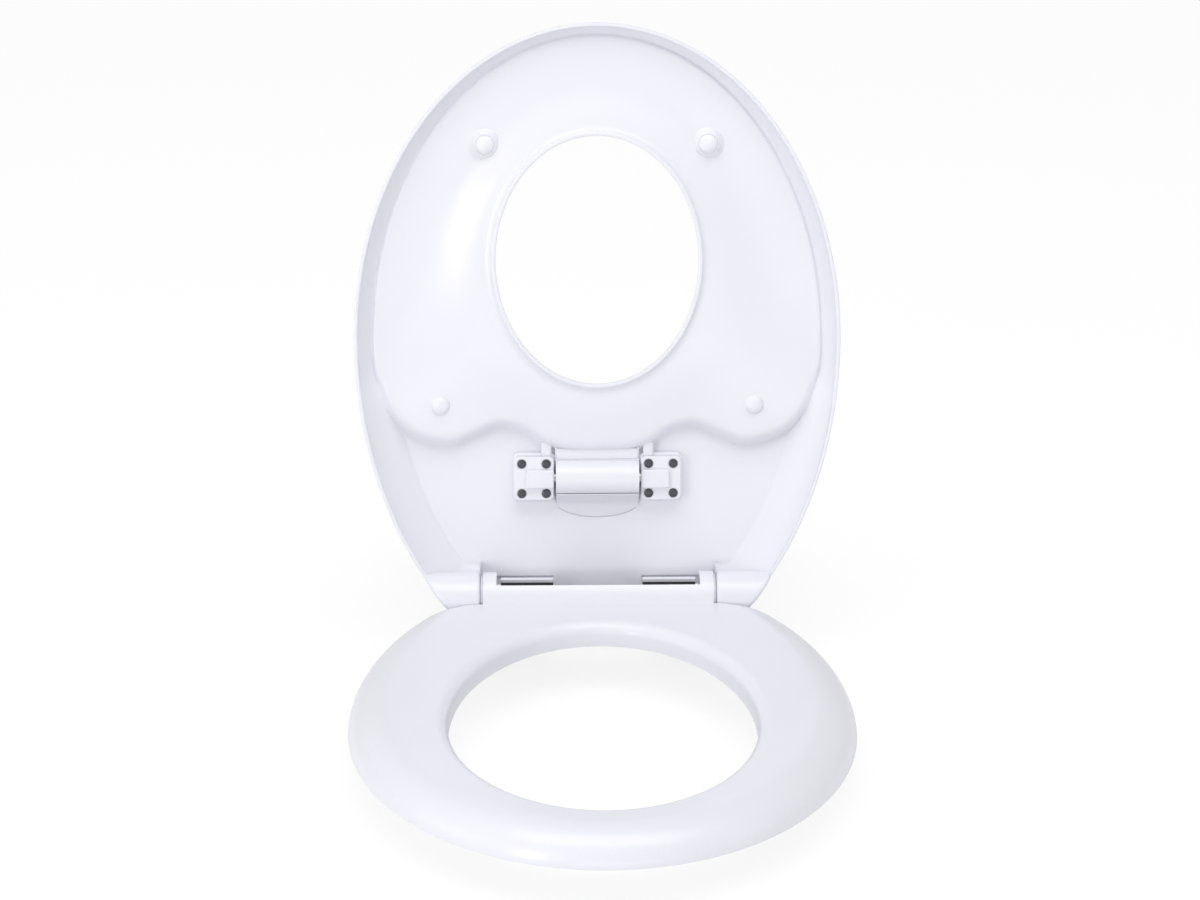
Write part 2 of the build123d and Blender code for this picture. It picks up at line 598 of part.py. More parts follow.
# Small cover with its barrel, drawn closed and turned back with its own plane
with BuildPart() as child_cover:
    with BuildSketch(cover_flat.offset(DECK_N - COVER_SKIRT)):
        add(child_outline(WALL + COVER_GAP))
    extrude(amount=COVER_SKIRT)
    with BuildSketch(cover_flat.offset(DECK_N - COVER_SKIRT)):
        add(child_outline(WALL + COVER_GAP + COVER_WALL))
    extrude(amount=COVER_SKIRT - COVER_WALL, mode=Mode.SUBTRACT)
    with BuildSketch(side_plane(cover_flat, 0)):
        with Locations((COVER_AXIS_U, DECK_N)):
            Rectangle(
                CHILD_WAVE_MID_U + WALL + ARM_REACH - COVER_AXIS_U,
                ARM_THICK,
                align=(Align.MIN, Align.MAX),
            )
    extrude(amount=ARM_HALF, both=True)
    with BuildSketch(side_plane(cover_flat, 0)):
        with Locations((COVER_AXIS_U, COVER_AXIS_N)):
            Circle(BARREL_RADIUS)
        with Locations((COVER_AXIS_U, DECK_N)):
            Rectangle(
                2 * BARREL_RADIUS,
                BARREL_RADIUS,
                align=(Align.CENTER, Align.MIN),
                mode=Mode.SUBTRACT,
            )
    extrude(amount=BARREL_HALF, both=True)
    bore_x = BARREL_HALF - COVER_DAMPER_LENGTH / 2
    with BuildSketch(side_plane(cover_flat, bore_x)):
        with Locations((COVER_AXIS_U, COVER_AXIS_N)):
            Circle(COVER_PIN_RADIUS + RUN_GAP)
    extrude(amount=COVER_DAMPER_LENGTH / 2, both=True, mode=Mode.SUBTRACT)
    with BuildSketch(side_plane(cover_flat, -bore_x)):
        with Locations((COVER_AXIS_U, COVER_AXIS_N)):
            Circle(COVER_DAMPER_RADIUS)
    extrude(amount=COVER_DAMPER_LENGTH / 2, both=True, mode=Mode.SUBTRACT)
child_cover.part.label = "child_cover"
export_step(child_cover.part, "parts/child_cover.step")

with BuildPart() as cover_damper:
    with BuildSketch(side_plane(cover_flat, -bore_x)):
        with Locations((COVER_AXIS_U, COVER_AXIS_N)):
            Circle(COVER_DAMPER_RADIUS)
            Circle(COVER_PIN_RADIUS + RUN_GAP, mode=Mode.SUBTRACT)
    extrude(amount=COVER_DAMPER_LENGTH / 2, both=True)
cover_damper.part.label = "cover_damper"
export_step(cover_damper.part, "parts/cover_damper.step")

# Bumpers under the small cover, which land on the floor of the child seat
for place, (x, u) in COVER_BUMPERS.items():
    funnel_n = FUNNEL_N + WALL + (x**2 + (u - CHILD_HOLE_U) ** 2) / (2 * FUNNEL_RADIUS)
    floor_n = min(funnel_n, FLANGE_N + WALL)
    for side, sign in SIDES.items():
        with BuildPart() as cover_bumper:
            with BuildSketch(cover_flat.offset(DECK_N - COVER_WALL)):
                with Locations((-sign * x, u)):
                    Circle(COVER_BUMPER_RADIUS)
            extrude(amount=floor_n + COVER_BUMPER_GAP - DECK_N + COVER_WALL)
        name = f"cover_bumper_{place}_{side}"
        cover_bumper.part.label = name
        export_step(cover_bumper.part, f"parts/{name}.step")

# Shafts of the main hinge: the ring's on the left, the lid's on the right
damper_in = POST_OUTER - DAMPER_LENGTH
shaft_start = damper_in + WALL
knuckle_outer = KNUCKLE_INNER + KNUCKLE_WIDTH
ear_end = EAR_INNER + EAR_BORE

with BuildPart() as ring_damper_shaft:
    with BuildSketch(side_plane(ring_flat, -shaft_start)):
        Circle(SHAFT_RADIUS)
    extrude(amount=KNUCKLE_INNER - shaft_start)
    with BuildSketch(side_plane(ring_flat, -KNUCKLE_INNER)):
        key_section(SHAFT_RADIUS, SHAFT_KEY)
    extrude(amount=KNUCKLE_WIDTH)
    with BuildSketch(side_plane(ring_flat, -knuckle_outer)):
        Circle(SHAFT_TIP_RADIUS)
    extrude(amount=ear_end - knuckle_outer - RUN_GAP)
ring_damper_shaft.part.label = "ring_damper_shaft"
export_step(ring_damper_shaft.part, "parts/ring_damper_shaft.step")

with BuildPart() as lid_damper_shaft:
    with BuildSketch(side_plane(lid_flat, EAR_INNER)):
        Circle(SHAFT_RADIUS)
    extrude(amount=EAR_INNER - shaft_start)
    with BuildSketch(side_plane(lid_flat, ear_end)):
        key_section(SHAFT_RADIUS, SHAFT_KEY)
    extrude(amount=EAR_BORE)
lid_damper_shaft.part.label = "lid_damper_shaft"
export_step(lid_damper_shaft.part, "parts/lid_damper_shaft.step")

with BuildPart() as knuckle_bush:
    with BuildSketch(side_plane(ring_flat, KNUCKLE_X)):
        Circle(SHAFT_RADIUS + BUSH_WALL)
        Circle(SHAFT_RADIUS + RUN_GAP, mode=Mode.SUBTRACT)
    extrude(amount=KNUCKLE_WIDTH / 2, both=True)
knuckle_bush.part.label = "knuckle_bush"
export_step(knuckle_bush.part, "parts/knuckle_bush.step")

with BuildPart() as ear_bush:
    with BuildSketch(side_plane(lid_flat, -(EAR_INNER + ear_end) / 2)):
        Circle(SHAFT_TIP_RADIUS + BUSH_WALL)
        Circle(SHAFT_TIP_RADIUS + RUN_GAP, mode=Mode.SUBTRACT)
    extrude(amount=EAR_BORE / 2, both=True)
ear_bush.part.label = "ear_bush"
export_step(ear_bush.part, "parts/ear_bush.step")

for name, sign in {"ring_damper": -1, "lid_damper": 1}.items():
    with BuildPart() as damper:
        with BuildSketch(side_plane(ring_flat, sign * (damper_in + POST_OUTER) / 2)):
            Circle(DAMPER_RADIUS)
        extrude(amount=DAMPER_LENGTH / 2, both=True)
        with BuildSketch(side_plane(ring_flat, sign * (shaft_start + POST_OUTER) / 2)):
            Circle(SHAFT_RADIUS + RUN_GAP)
        extrude(amount=(POST_OUTER - shaft_start) / 2, both=True, mode=Mode.SUBTRACT)
    damper.part.label = name
    export_step(damper.part, f"parts/{name}.step")

# Heights of the quick-release latch over the base plate
latch_z = PLATE_TOP + LATCH_LOW
socket_top = PLATE_TOP + STUD_NECK_HEIGHT + STUD_HEAD_HEIGHT + 2 * LATCH_GAP
spring_bore = SPRING_RADIUS + SPRING_WIRE
spring_z = latch_z + BUTTON_HEIGHT - spring_bore - LATCH_THICK / 2
spring_y = POST_REAR - BUTTON_DEPTH - LATCH_GAP
cap_y = POST_REAR + BUTTON_TRAVEL - BUTTON_DEPTH

for side, sign in SIDES.items():
    post_x = sign * POST_X
    # Hinge post with the black barrel and the socket of the quick release
    with BuildPart() as post:
        with BuildSketch(side_plane(ring_flat, post_x)):
            Circle(POST_BARREL_RADIUS)
            with Locations((POST_FRONT, 0)):
                Rectangle(
                    POST_FRONT + POST_REAR,
                    AXIS_HEIGHT - PLATE_TOP,
                    align=(Align.MAX, Align.MAX),
                )
        extrude(amount=POST_WIDTH / 2, both=True)
        with BuildSketch(side_plane(ring_flat, sign * (damper_in + POST_OUTER) / 2)):
            Circle(DAMPER_RADIUS)
        extrude(amount=DAMPER_LENGTH / 2, both=True, mode=Mode.SUBTRACT)
        with BuildSketch(Plane.XY.offset(PLATE_TOP)):
            with Locations((post_x, 0)):
                Circle(STUD_HEAD_RADIUS + LATCH_GAP)
        extrude(amount=socket_top - PLATE_TOP, mode=Mode.SUBTRACT)
        with BuildSketch(Plane.XY.offset(latch_z - LATCH_GAP)):
            with Locations((post_x, POST_REAR)):
                Rectangle(
                    BUTTON_WIDTH + 2 * LATCH_GAP,
                    POST_REAR + BUTTON_WIDTH / 2 + BUTTON_TRAVEL + LATCH_GAP,
                    align=(Align.CENTER, Align.MAX),
                )
        extrude(amount=LATCH_THICK + 2 * LATCH_GAP, mode=Mode.SUBTRACT)
        with BuildSketch(Plane.XY.offset(latch_z - LATCH_GAP)):
            with Locations((post_x, POST_REAR)):
                Rectangle(
                    BUTTON_WIDTH + 2 * LATCH_GAP,
                    BUTTON_DEPTH + LATCH_GAP,
                    align=(Align.CENTER, Align.MAX),
                )
        extrude(amount=BUTTON_HEIGHT + 2 * LATCH_GAP, mode=Mode.SUBTRACT)
    name = f"hinge_post_{side}"
    post.part.label = name
    export_step(post.part, f"parts/{name}.step")

    # Release button: a keyhole plate that grips the stud, and the cap that is pressed
    with BuildPart() as button:
        with BuildSketch(Plane.XY.offset(latch_z)):
            with Locations((post_x, cap_y + WALL)):
                Rectangle(
                    BUTTON_WIDTH,
                    cap_y + WALL + BUTTON_WIDTH / 2,
                    align=(Align.CENTER, Align.MAX),
                )
            with Locations((post_x, 0)):
                Circle(STUD_NECK_RADIUS + LATCH_GAP, mode=Mode.SUBTRACT)
            with Locations((post_x, BUTTON_TRAVEL)):
                Circle(STUD_HEAD_RADIUS + LATCH_GAP, mode=Mode.SUBTRACT)
        extrude(amount=LATCH_THICK)
        with BuildSketch(Plane.XY.offset(latch_z)):
            with Locations((post_x, cap_y)):
                Rectangle(BUTTON_WIDTH, BUTTON_DEPTH, align=(Align.CENTER, Align.MIN))
        extrude(amount=BUTTON_HEIGHT)
        with BuildSketch(Plane(origin=(post_x, cap_y, spring_z), x_dir=(1, 0, 0), z_dir=(0, 1, 0))):
            Circle(spring_bore)
        extrude(amount=SPRING_SEAT_DEPTH, mode=Mode.SUBTRACT)
    name = f"release_button_{side}"
    button.part.label = name
    export_step(button.part, f"parts/{name}.step")

    # Its spring, between the post and the cap
    spring_length = cap_y + SPRING_SEAT_DEPTH - spring_y
    with BuildPart() as spring:
        with BuildLine():
            coil = Helix(
                pitch=(spring_length - 2 * SPRING_WIRE) / SPRING_TURNS,
                height=spring_length - 2 * SPRING_WIRE,
                radius=SPRING_RADIUS,
                center=(post_x, spring_y + SPRING_WIRE, spring_z),
                direction=(0, 1, 0),
            )
        with BuildSketch(Plane(origin=coil @ 0, z_dir=coil % 0)):
            RegularPolygon(SPRING_WIRE / 2, 4)
        sweep(is_frenet=True)
    name = f"release_spring_{side}"
    spring.part.label = name
    export_step(spring.part, f"parts/{name}.step")

    # Gasket, base plate and mushroom stud
    fixing_x = sign * FIXING_SPACING / 2
    with BuildPart() as gasket:
        with BuildSketch(Plane.XY):
            with Locations((sign * PLATE_X, 0)):
                RectangleRounded(PLATE_LENGTH, PLATE_WIDTH, PLATE_CORNER)
            with Locations((fixing_x, 0)):
                Circle(GASKET_HOLE_RADIUS, mode=Mode.SUBTRACT)
        extrude(amount=GASKET_THICK)
    name = f"base_gasket_{side}"
    gasket.part.label = name
    export_step(gasket.part, f"parts/{name}.step")

    with BuildPart() as plate:
        with BuildSketch(Plane.XY.offset(GASKET_THICK)):
            with Locations((sign * PLATE_X, 0)):
                RectangleRounded(PLATE_LENGTH, PLATE_WIDTH, PLATE_CORNER)
        extrude(amount=PLATE_THICK)
        with Locations((fixing_x, 0, PLATE_TOP)):
            CounterSinkHole(FIXING_SHANK_RADIUS, FIXING_SHANK_RADIUS + PLATE_THICK, PLATE_THICK, 90)
        with Locations((post_x, 0, PLATE_TOP)):
            Hole(STUD_NECK_RADIUS, PLATE_THICK)
    name = f"base_plate_{side}"
    plate.part.label = name
    export_step(plate.part, f"parts/{name}.step")

    with BuildPart() as stud:
        with BuildSketch(Plane.XY.offset(GASKET_THICK)):
            with Locations((post_x, 0)):
                Circle(STUD_NECK_RADIUS)
        extrude(amount=PLATE_THICK + STUD_NECK_HEIGHT)
        with BuildSketch(Plane.XY.offset(PLATE_TOP + STUD_NECK_HEIGHT)):
            with Locations((post_x, 0)):
                Circle(STUD_HEAD_RADIUS)
        extrude(amount=STUD_HEAD_HEIGHT)
        fillet(stud.edges().group_by(Axis.Z)[-1], STUD_HEAD_HEIGHT / 2)
    name = f"plate_stud_{side}"
    stud.part.label = name
    export_step(stud.part, f"parts/{name}.step")

    # Countersunk screw, and the rubber plug that its nut swells in the bowl's hole
    with BuildPart() as fixing:
        with Locations((fixing_x, 0, PLATE_TOP)):
            Cylinder(
                FIXING_SHANK_RADIUS,
                FIXING_LENGTH,
                align=(Align.CENTER, Align.CENTER, Align.MAX),
            )
            Cone(
                FIXING_SHANK_RADIUS,
                FIXING_SHANK_RADIUS + PLATE_THICK,
                PLATE_THICK,
                align=(Align.CENTER, Align.CENTER, Align.MAX),
            )
    name = f"fixing_screw_{side}"
    fixing.part.label = name
    export_step(fixing.part, f"parts/{name}.step")

    with BuildPart() as nut:
        with BuildSketch(Plane.XY.offset(PLATE_TOP - FIXING_LENGTH)):
            with Locations((fixing_x, 0)):
                RegularPolygon(NUT_RADIUS, 6)
                Circle(FIXING_SHANK_RADIUS, mode=Mode.SUBTRACT)
        extrude(amount=NUT_THICK)
    name = f"sleeve_nut_{side}"
    nut.part.label = name
    export_step(nut.part, f"parts/{name}.step")

    with BuildPart() as sleeve:
        with Locations((fixing_x, 0, GASKET_THICK)):
            Cylinder(
                SLEEVE_RADIUS,
                SLEEVE_LENGTH,
                align=(Align.CENTER, Align.CENTER, Align.MAX),
            )
            Cylinder(
                FIXING_SHANK_RADIUS,
                FIXING_LENGTH - PLATE_THICK,
                align=(Align.CENTER, Align.CENTER, Align.MAX),
                mode=Mode.SUBTRACT,
            )
        add(nut.part, mode=Mode.SUBTRACT)
    name = f"expansion_sleeve_{side}"
    sleeve.part.label = name
    export_step(sleeve.part, f"parts/{name}.step")
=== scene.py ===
import json
import math

import bpy
import numpy as np
from mathutils import Matrix, Vector


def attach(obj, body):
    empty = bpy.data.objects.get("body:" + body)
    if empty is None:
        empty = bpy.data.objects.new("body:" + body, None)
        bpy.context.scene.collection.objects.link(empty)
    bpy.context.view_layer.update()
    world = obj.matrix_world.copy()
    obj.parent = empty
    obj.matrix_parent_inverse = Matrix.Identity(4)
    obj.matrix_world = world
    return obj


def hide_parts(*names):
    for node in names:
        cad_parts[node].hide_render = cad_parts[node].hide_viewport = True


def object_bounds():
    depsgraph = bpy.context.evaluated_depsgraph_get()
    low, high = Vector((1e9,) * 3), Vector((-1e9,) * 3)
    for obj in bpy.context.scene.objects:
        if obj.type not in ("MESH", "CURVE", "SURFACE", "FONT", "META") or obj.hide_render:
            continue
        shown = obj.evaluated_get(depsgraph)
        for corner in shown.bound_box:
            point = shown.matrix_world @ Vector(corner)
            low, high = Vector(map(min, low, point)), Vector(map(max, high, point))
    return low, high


bl_info = {
    "name": "Family toilet seat",
    "version": (1, 0, 0),
    "blender": (4, 5, 0),
    "location": "View3D > Sidebar > Toilet Seat",
    "description": "Dresses the packed toilet seat: ring, child seat lid, small cover and hinges",
    "category": "Object",
}

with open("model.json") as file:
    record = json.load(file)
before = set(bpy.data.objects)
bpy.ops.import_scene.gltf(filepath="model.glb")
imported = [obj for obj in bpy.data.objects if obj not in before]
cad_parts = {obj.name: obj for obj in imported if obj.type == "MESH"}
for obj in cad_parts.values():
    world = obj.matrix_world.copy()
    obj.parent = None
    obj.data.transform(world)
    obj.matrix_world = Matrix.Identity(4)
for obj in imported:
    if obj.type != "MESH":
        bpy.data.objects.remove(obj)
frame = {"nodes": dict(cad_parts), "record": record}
CAD_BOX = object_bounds()

# Sizes in millimetres that the solids have too
AXIS_HEIGHT = 26.0
LID_OPEN = math.radians(100.0)
HALF_WIDTH = 182.5
MID_U = 198.0
FRONT = 237.0
REAR = 261.0
RIM_N = -4.5
DECK_N = 23.8
PANEL_N = 20.3
HOLE_U = 257.0
HOLE_HALF_WIDTH = 76.0
HOLE_HALF_LENGTH = 93.5
EAR_INNER = 89.0
KNUCKLE_OUTER = 87.1
NOTCH_INNER = 33.6
KNUCKLE_RADIUS = 19.5
COVER_AXIS_U = 90.0
COVER_AXIS_N = 12.0
BARREL_RADIUS = 13.5
BARREL_HALF = 31.4
BRACKET_INNER = 33.0
BRACKET_WIDTH = 30.0
BRACKET_LENGTH = 33.4
BRACKET_N = 8.5
BRACKET_SCREW_X = 18.6
BRACKET_SCREW_U = 22.7
BOSS_N = 7.6
POST_X = 53.75
POST_WIDTH = 39.7

# The lid's round bumpers: across, forward of the hinge, radius of the boss and its depth
BUMPERS = {"front": (83.4, 343.6, 9.0, 5.6), "rear": (118.2, 146.7, 10.5, 3.7)}
BUMPER_RADIUS = 7.0

# The child seat as the photograph shows it, across and forward of the hinge: the wave behind it,
# and the valley between its bulge and its flange
CHILD_WAVE = (
    (168.5, 184.0),
    (166.0, 168.0),
    (158.0, 143.0),
    (139.0, 124.0),
    (112.0, 116.5),
    (93.0, 123.0),
    (74.0, 130.5),
    (55.0, 127.0),
    (40.0, 117.0),
    (25.0, 112.5),
    (8.0, 111.5),
)
VALLEY = (
    (167.0, 188.0),
    (159.0, 204.0),
    (146.0, 220.0),
    (131.0, 245.0),
    (118.0, 285.0),
    (96.0, 324.0),
    (66.0, 356.0),
    (30.0, 376.0),
    (0.0, 382.0),
)
FLANGE_INSET_SIDE = 14.0
FLANGE_INSET_FRONT = 10.5
# Where the wave and the valley end, past the middle of the lid, so that the curves meet it squarely
WAVE_PAST_MIDDLE = (-8.0, 111.5)
VALLEY_PAST_MIDDLE = (-30.0, 376.0)

# Section of the lid: rim, inner wall, crown and dish
RIM_WIDTH = 2.9
WALL_RUN = 43.5
CROWN_RISE = 28.0
SLANT_RUN = 25.0
LEDGE_START_U = 12.0
LEDGE_RUN = 17.5
DOME_RUN = 24.0
DISH_FLOOR_N = 14.0
DISH_EDGE = 5.0
DISH_EDGE_ROUND = 4.0
# Walls round the child seat, radius of the rounded edge and slope: beside, behind and in the dish
SOFT_WALL = (7.5, 2.2)
CRISP_WALL = (1.8, 1.6)
DISH_WALL = (4.0, 2.6)
MIDDLE_INSET = 60.0
RIM_TOP = ((2.75, 0.5), (2.4, 0.1), (1.9, 0.0), (0.9, 0.0), (0.35, 0.15), (0.05, 0.6))
# Insets of the sections that go down the inner wall, closest where it bends most
WALL_INSETS = (
    *(31.0, 30.0, 29.3, 28.8, 28.4, 28.1, 27.8, 27.5, 27.2, 26.8, 26.3, 25.5, 24.2, 22.6),
    *(20.8, 19.0, 17.5, 16.4, 15.6, 15.0, 14.6, 14.2, 13.8, 13.3, 12.6, 11.8, 11.2, 10.8),
    *(10.4, 9.9, 9.3, 8.4, 7.4, 6.4, 5.5, 4.8, 4.2, 3.8, 3.4, 3.1, 2.95),
)
SHELL_END_U = 0.0
MIDDLE_END_U = 24.0

# Slot of the small cover's barrel, and the flap behind it
SLOT_GAP = 0.35
SLOT_FRONT = 11.7
SLOT_FRONT_N = 15.2
FLAP_U = 70.0
RECESS_REACH = 12.0
RECESS_DEPTH = 0.8
FLAP_REACH = 11.1
FLAP_GAP = 0.1
FLAP_THICK = 2.0
BAR_U, BAR_N = 108.1, 14.2
BAR_WIDTH, BAR_THICK = 8.8, 3.6
LIP_TIP_U = 66.0

# Section of the wall behind each notch: forward of the hinge, and height
NOTCH_BACK = ((15, PANEL_N), (15, DECK_N), (5.5, DECK_N), (5.5, 22.2), (12.9, 22.2), (12.9, PANEL_N))

# Brackets and their screws
PLATE_THICK = 3.5
PEDESTAL_N = BRACKET_N + PLATE_THICK
RISE_LENGTH = 21.2
RIB_X, RIB_U = 38.6, 110.5
SCREW_RADIUS = 3.3
POCKET_RADIUS = 4.0
CROSS_LENGTH, CROSS_WIDTH = 4.2, 0.8

# Inner and outer radius of the hoods over the posts, and the washers beside the knuckles
BARREL_HOOD = (12.8, 15.2)
WASHER_RADIUS = 17.4
WASHER_GAP = 0.1

MM = 0.001
# How close two points must be to be joined, in the world and in a drawing in millimetres
WELD_WORLD = 1e-6
WELD_DRAWN = 1e-3

# The camera: what it looks at, from how high and how far to the side, and the shift of the picture
CAMERA_AIM = (0, 0, 0.1447)
CAMERA_ELEVATION = math.radians(19.8)
CAMERA_AZIMUTH = math.radians(0.9)
CAMERA_DISTANCE = 3.071
CAMERA_LENS = 123.03
CAMERA_SHIFT = 2 / 1200
# Softboxes: place, width, height and watts
LAMPS = {
    "left_softbox": ((-1.5, -2.1, 0.5), 0.55, 1.5, 12.0),
    "left_wall": ((-2.4, -0.6, 0.6), 1.2, 1.6, 5.5),
    "right_wall": ((2.4, -0.9, 0.7), 1.2, 1.6, 2.0),
    "low_fill": ((0.3, -2.6, 0.15), 2.0, 0.25, 3.8),
    "top_softbox": ((0.0, -0.7, 2.1), 2.4, 1.3, 19.0),
}
LAMP_AIM = Vector((0, 0, 0.15))
# Light of the white world on the part, and the glow of the floor to the camera and its share
WORLD_LIGHT = 0.58
FLOOR_GLOW = 1.06
FLOOR_GLOW_SHARE = 0.8
FLOOR_GAP = 0.0005


def linear(hex_colour):
    """Linear RGBA of an sRGB hex colour."""
    parts = [int(hex_colour[i : i + 2], 16) / 255 for i in (1, 3, 5)]
    return (*[p / 12.92 if p <= 0.04045 else ((p + 0.055) / 1.055) ** 2.4 for p in parts], 1.0)


def length(name, description, millimetres):
    """A length that the panel shows, stored in metres."""
    return bpy.props.FloatProperty(
        name=name,
        description=description,
        default=millimetres * MM,
        min=0.0,
        unit="LENGTH",
        subtype="DISTANCE",
    )


def colour(name, description, hex_colour):
    """A colour that the panel shows."""
    return bpy.props.FloatVectorProperty(
        name=name,
        description=description,
        default=linear(hex_colour),
        size=4,
        min=0.0,
        max=1.0,
        subtype="COLOR",
    )


class ToiletSeatSizes(bpy.types.PropertyGroup):
    """Heights and roundings of the moulded forms"""

    bulge: length("Bulge", "Height of the underside at the child's opening", 3.6)
    valley: length("Valley", "Height of the underside along the valley beside the bulge", 12.6)
    lobe: length("Lobe", "Height of the underside over the rear bumpers", 9.0)
    flange: length("Flange", "Height of the underside along the flange's edge", 11.0)
    lip: length("Lip", "Width of the lip round the opening", 3.3)
    wall: length("Wall", "Thickness of the moulded skin", 3.5)
    dome: length("Bumper dome", "Height of the lid's round bumpers", 4.3)
    cross: length("Screw cross", "Depth of the cross recess in the bracket screws", 0.8)


class ToiletSeatColours(bpy.types.PropertyGroup):
    """Colours of the materials"""

    white: colour("White plastic", "Duroplast of ring, lid, cover and brackets", "#EBEBF3")
    soft: colour("Bumpers", "Soft white of the bumpers", "#EDEDF4")
    black: colour("Black plastic", "Nylon of the hinge posts and buttons", "#0B0B0D")
    grey: colour("Grey plastic", "Acetal of dampers and bushes", "#6E6E78")
    rubber: colour("Black rubber", "Rubber of gaskets and sleeves", "#161616")
    steel: colour("Steel", "Stainless plates, screws, studs, springs and shafts", "#C9C9C6")
    screw: colour("Screw steel", "Dark zinc of the bracket screws", "#5A5A60")
    brass: colour("Brass", "Nuts in the sleeves", "#D9B36A")


def millimetres(name):
    """A length of the panel in millimetres."""
    return getattr(bpy.context.scene.toilet_seat_sizes, name) / MM


def drawn_to_world():
    """Matrix from a drawing of the lid (x across, y forward of the hinge, z out of its underside)."""
    turn = Matrix.Rotation(math.pi - LID_OPEN, 4, "X")
    return Matrix.Translation((0, 0, AXIS_HEIGHT * MM)) @ turn @ Matrix.Scale(MM, 4)


# Materials
def add_node(tree, kind, settings=(), inputs=(), links=()):
    """Adds a node, sets its properties and sockets, and links sockets to outputs."""
    node = tree.nodes.new(kind)
    for name, value in dict(settings).items():
        setattr(node, name, value)
    for name, value in dict(inputs).items():
        node.inputs[name].default_value = value
    for name, output in dict(links).items():
        tree.links.new(output, node.inputs[name])
    return node


def new_material(name):
    """An empty node material with its output."""
    material = bpy.data.materials.new(name)
    material.use_nodes = True
    tree = material.node_tree
    tree.nodes.clear()
    output = add_node(tree, "ShaderNodeOutputMaterial")
    return material, tree, output


def real_size_noise(tree, cell_mm, detail):
    """Noise in the object's own space, its cells a real number of millimetres wide."""
    place = add_node(tree, "ShaderNodeTexCoord")
    return add_node(
        tree,
        "ShaderNodeTexNoise",
        inputs={"Scale": 1000 / cell_mm, "Detail": detail},
        links={"Vector": place.outputs["Object"]},
    )


def moulded_plastic(name, base, roughness, sink_mm, coat=0.0):
    """Injection-moulded plastic: a smooth skin with faint flow clouds and shallow sink marks."""
    material, tree, output = new_material(name)
    clouds = real_size_noise(tree, 60, 3.0)
    tone = add_node(
        tree,
        "ShaderNodeMapRange",
        inputs={"To Min": roughness * 0.85, "To Max": roughness * 1.15},
        links={"Value": clouds.outputs["Fac"]},
    )
    bump = add_node(
        tree,
        "ShaderNodeBump",
        inputs={"Strength": 0.1, "Distance": sink_mm * MM},
        links={"Height": real_size_noise(tree, 9, 2.0).outputs["Fac"]},
    )
    tint = add_node(
        tree,
        "ShaderNodeMix",
        settings={"data_type": "RGBA"},
        inputs={6: tuple(base), 7: tuple(c * 0.98 for c in base[:3]) + (1.0,)},
        links={0: clouds.outputs["Fac"]},
    )
    shader = add_node(
        tree,
        "ShaderNodeBsdfPrincipled",
        inputs={"IOR": 1.49, "Coat Weight": coat, "Coat Roughness": 0.17},
        links={"Base Color": tint.outputs[2], "Roughness": tone.outputs[0], "Normal": bump.outputs[0]},
    )
    tree.links.new(shader.outputs[0], output.inputs[0])
    return material


def metal(name, base, roughness):
    """Bare metal with a fine turned or brushed grain."""
    material, tree, output = new_material(name)
    tone = add_node(
        tree,
        "ShaderNodeMapRange",
        inputs={"To Min": roughness * 0.8, "To Max": roughness * 1.25},
        links={"Value": real_size_noise(tree, 2, 2.0).outputs["Fac"]},
    )
    shader = add_node(
        tree,
        "ShaderNodeBsdfPrincipled",
        inputs={"Base Color": tuple(base), "Metallic": 1.0},
        links={"Roughness": tone.outputs[0]},
    )
    tree.links.new(shader.outputs[0], output.inputs[0])
    return material


def make_finishes():
    """All materials of the part, by the slots of its record."""
    colours = bpy.context.scene.toilet_seat_colours
    return {
        # Duroplast: a hard white gloss with a slightly blue tone
        "white_plastic": moulded_plastic("glossy_moulded_duroplast", colours.white, 0.32, 0.01, 0.3),
        # Nylon: deep black, half matt
        "black_plastic": moulded_plastic("black_moulded_nylon", colours.black, 0.35, 0.05),
        # Acetal: waxy mid grey
        "grey_plastic": moulded_plastic("grey_moulded_acetal", colours.grey, 0.4, 0.05),
        # Soft bumpers: white like the seat, less gloss
        "bumper": moulded_plastic("soft_white_bumper_rubber", colours.soft, 0.32, 0.02),
        # Rubber: dull black
        "black_rubber": moulded_plastic("black_moulded_rubber", colours.rubber, 0.6, 0.08),
        # Brushed stainless steel: bright with soft reflections
        "steel": metal("stainless_steel_brushed", colours.steel, 0.3),
        # Zinc-plated screws: dark grey with small glints
        "dark_steel": metal("dark_zinc_screw_steel", colours.screw, 0.35),
        # Turned brass: warm yellow
        "brass": metal("turned_brass", colours.brass, 0.3),
    }


FINISHES = {}


# Meshes
def only(*objects):
    """Leaves just these objects selected, the first of them active."""
    bpy.ops.object.select_all(action="DESELECT")
    for obj in objects:
        obj.select_set(True)
    bpy.context.view_layer.objects.active = objects[0]


def edit(obj, *steps):
    """Selects the whole mesh of a piece in edit mode and runs steps on it."""
    only(obj)
    bpy.ops.object.mode_set(mode="EDIT")
    bpy.ops.mesh.select_all(action="SELECT")
    for step in steps:
        step()
    bpy.ops.object.mode_set(mode="OBJECT")
    return obj


def weld():
    """Joins points that lie at the same place."""
    bpy.ops.mesh.remove_doubles(threshold=WELD_WORLD)


def weld_drawn():
    """Joins points that lie at the same place in a drawing in millimetres."""
    bpy.ops.mesh.remove_doubles(threshold=WELD_DRAWN)


def select_all_again():
    """Selects the whole mesh in edit mode."""
    bpy.ops.mesh.select_all(action="SELECT")


def outwards():
    """Turns all faces outwards."""
    bpy.ops.mesh.normals_make_consistent(inside=False)


def dress(obj, name, body, slot, replaced=()):
    """Gives a finished piece its name, body and finish, and hides the CAD nodes that it stands for."""
    obj.name = name
    obj.data.materials.clear()
    obj.data.materials.append(FINISHES[slot])
    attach(obj, body)
    if replaced:
        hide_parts(*replaced)
    return obj


def to_world(obj):
    """Takes a piece of the open lid from its drawing in millimetres to its place in the world."""
    obj.data.transform(drawn_to_world())
    obj.data.update()
    return obj


def join(objects):
    """Joins pieces into the first of them."""
    only(*objects)
    bpy.ops.object.join()
    return bpy.context.object


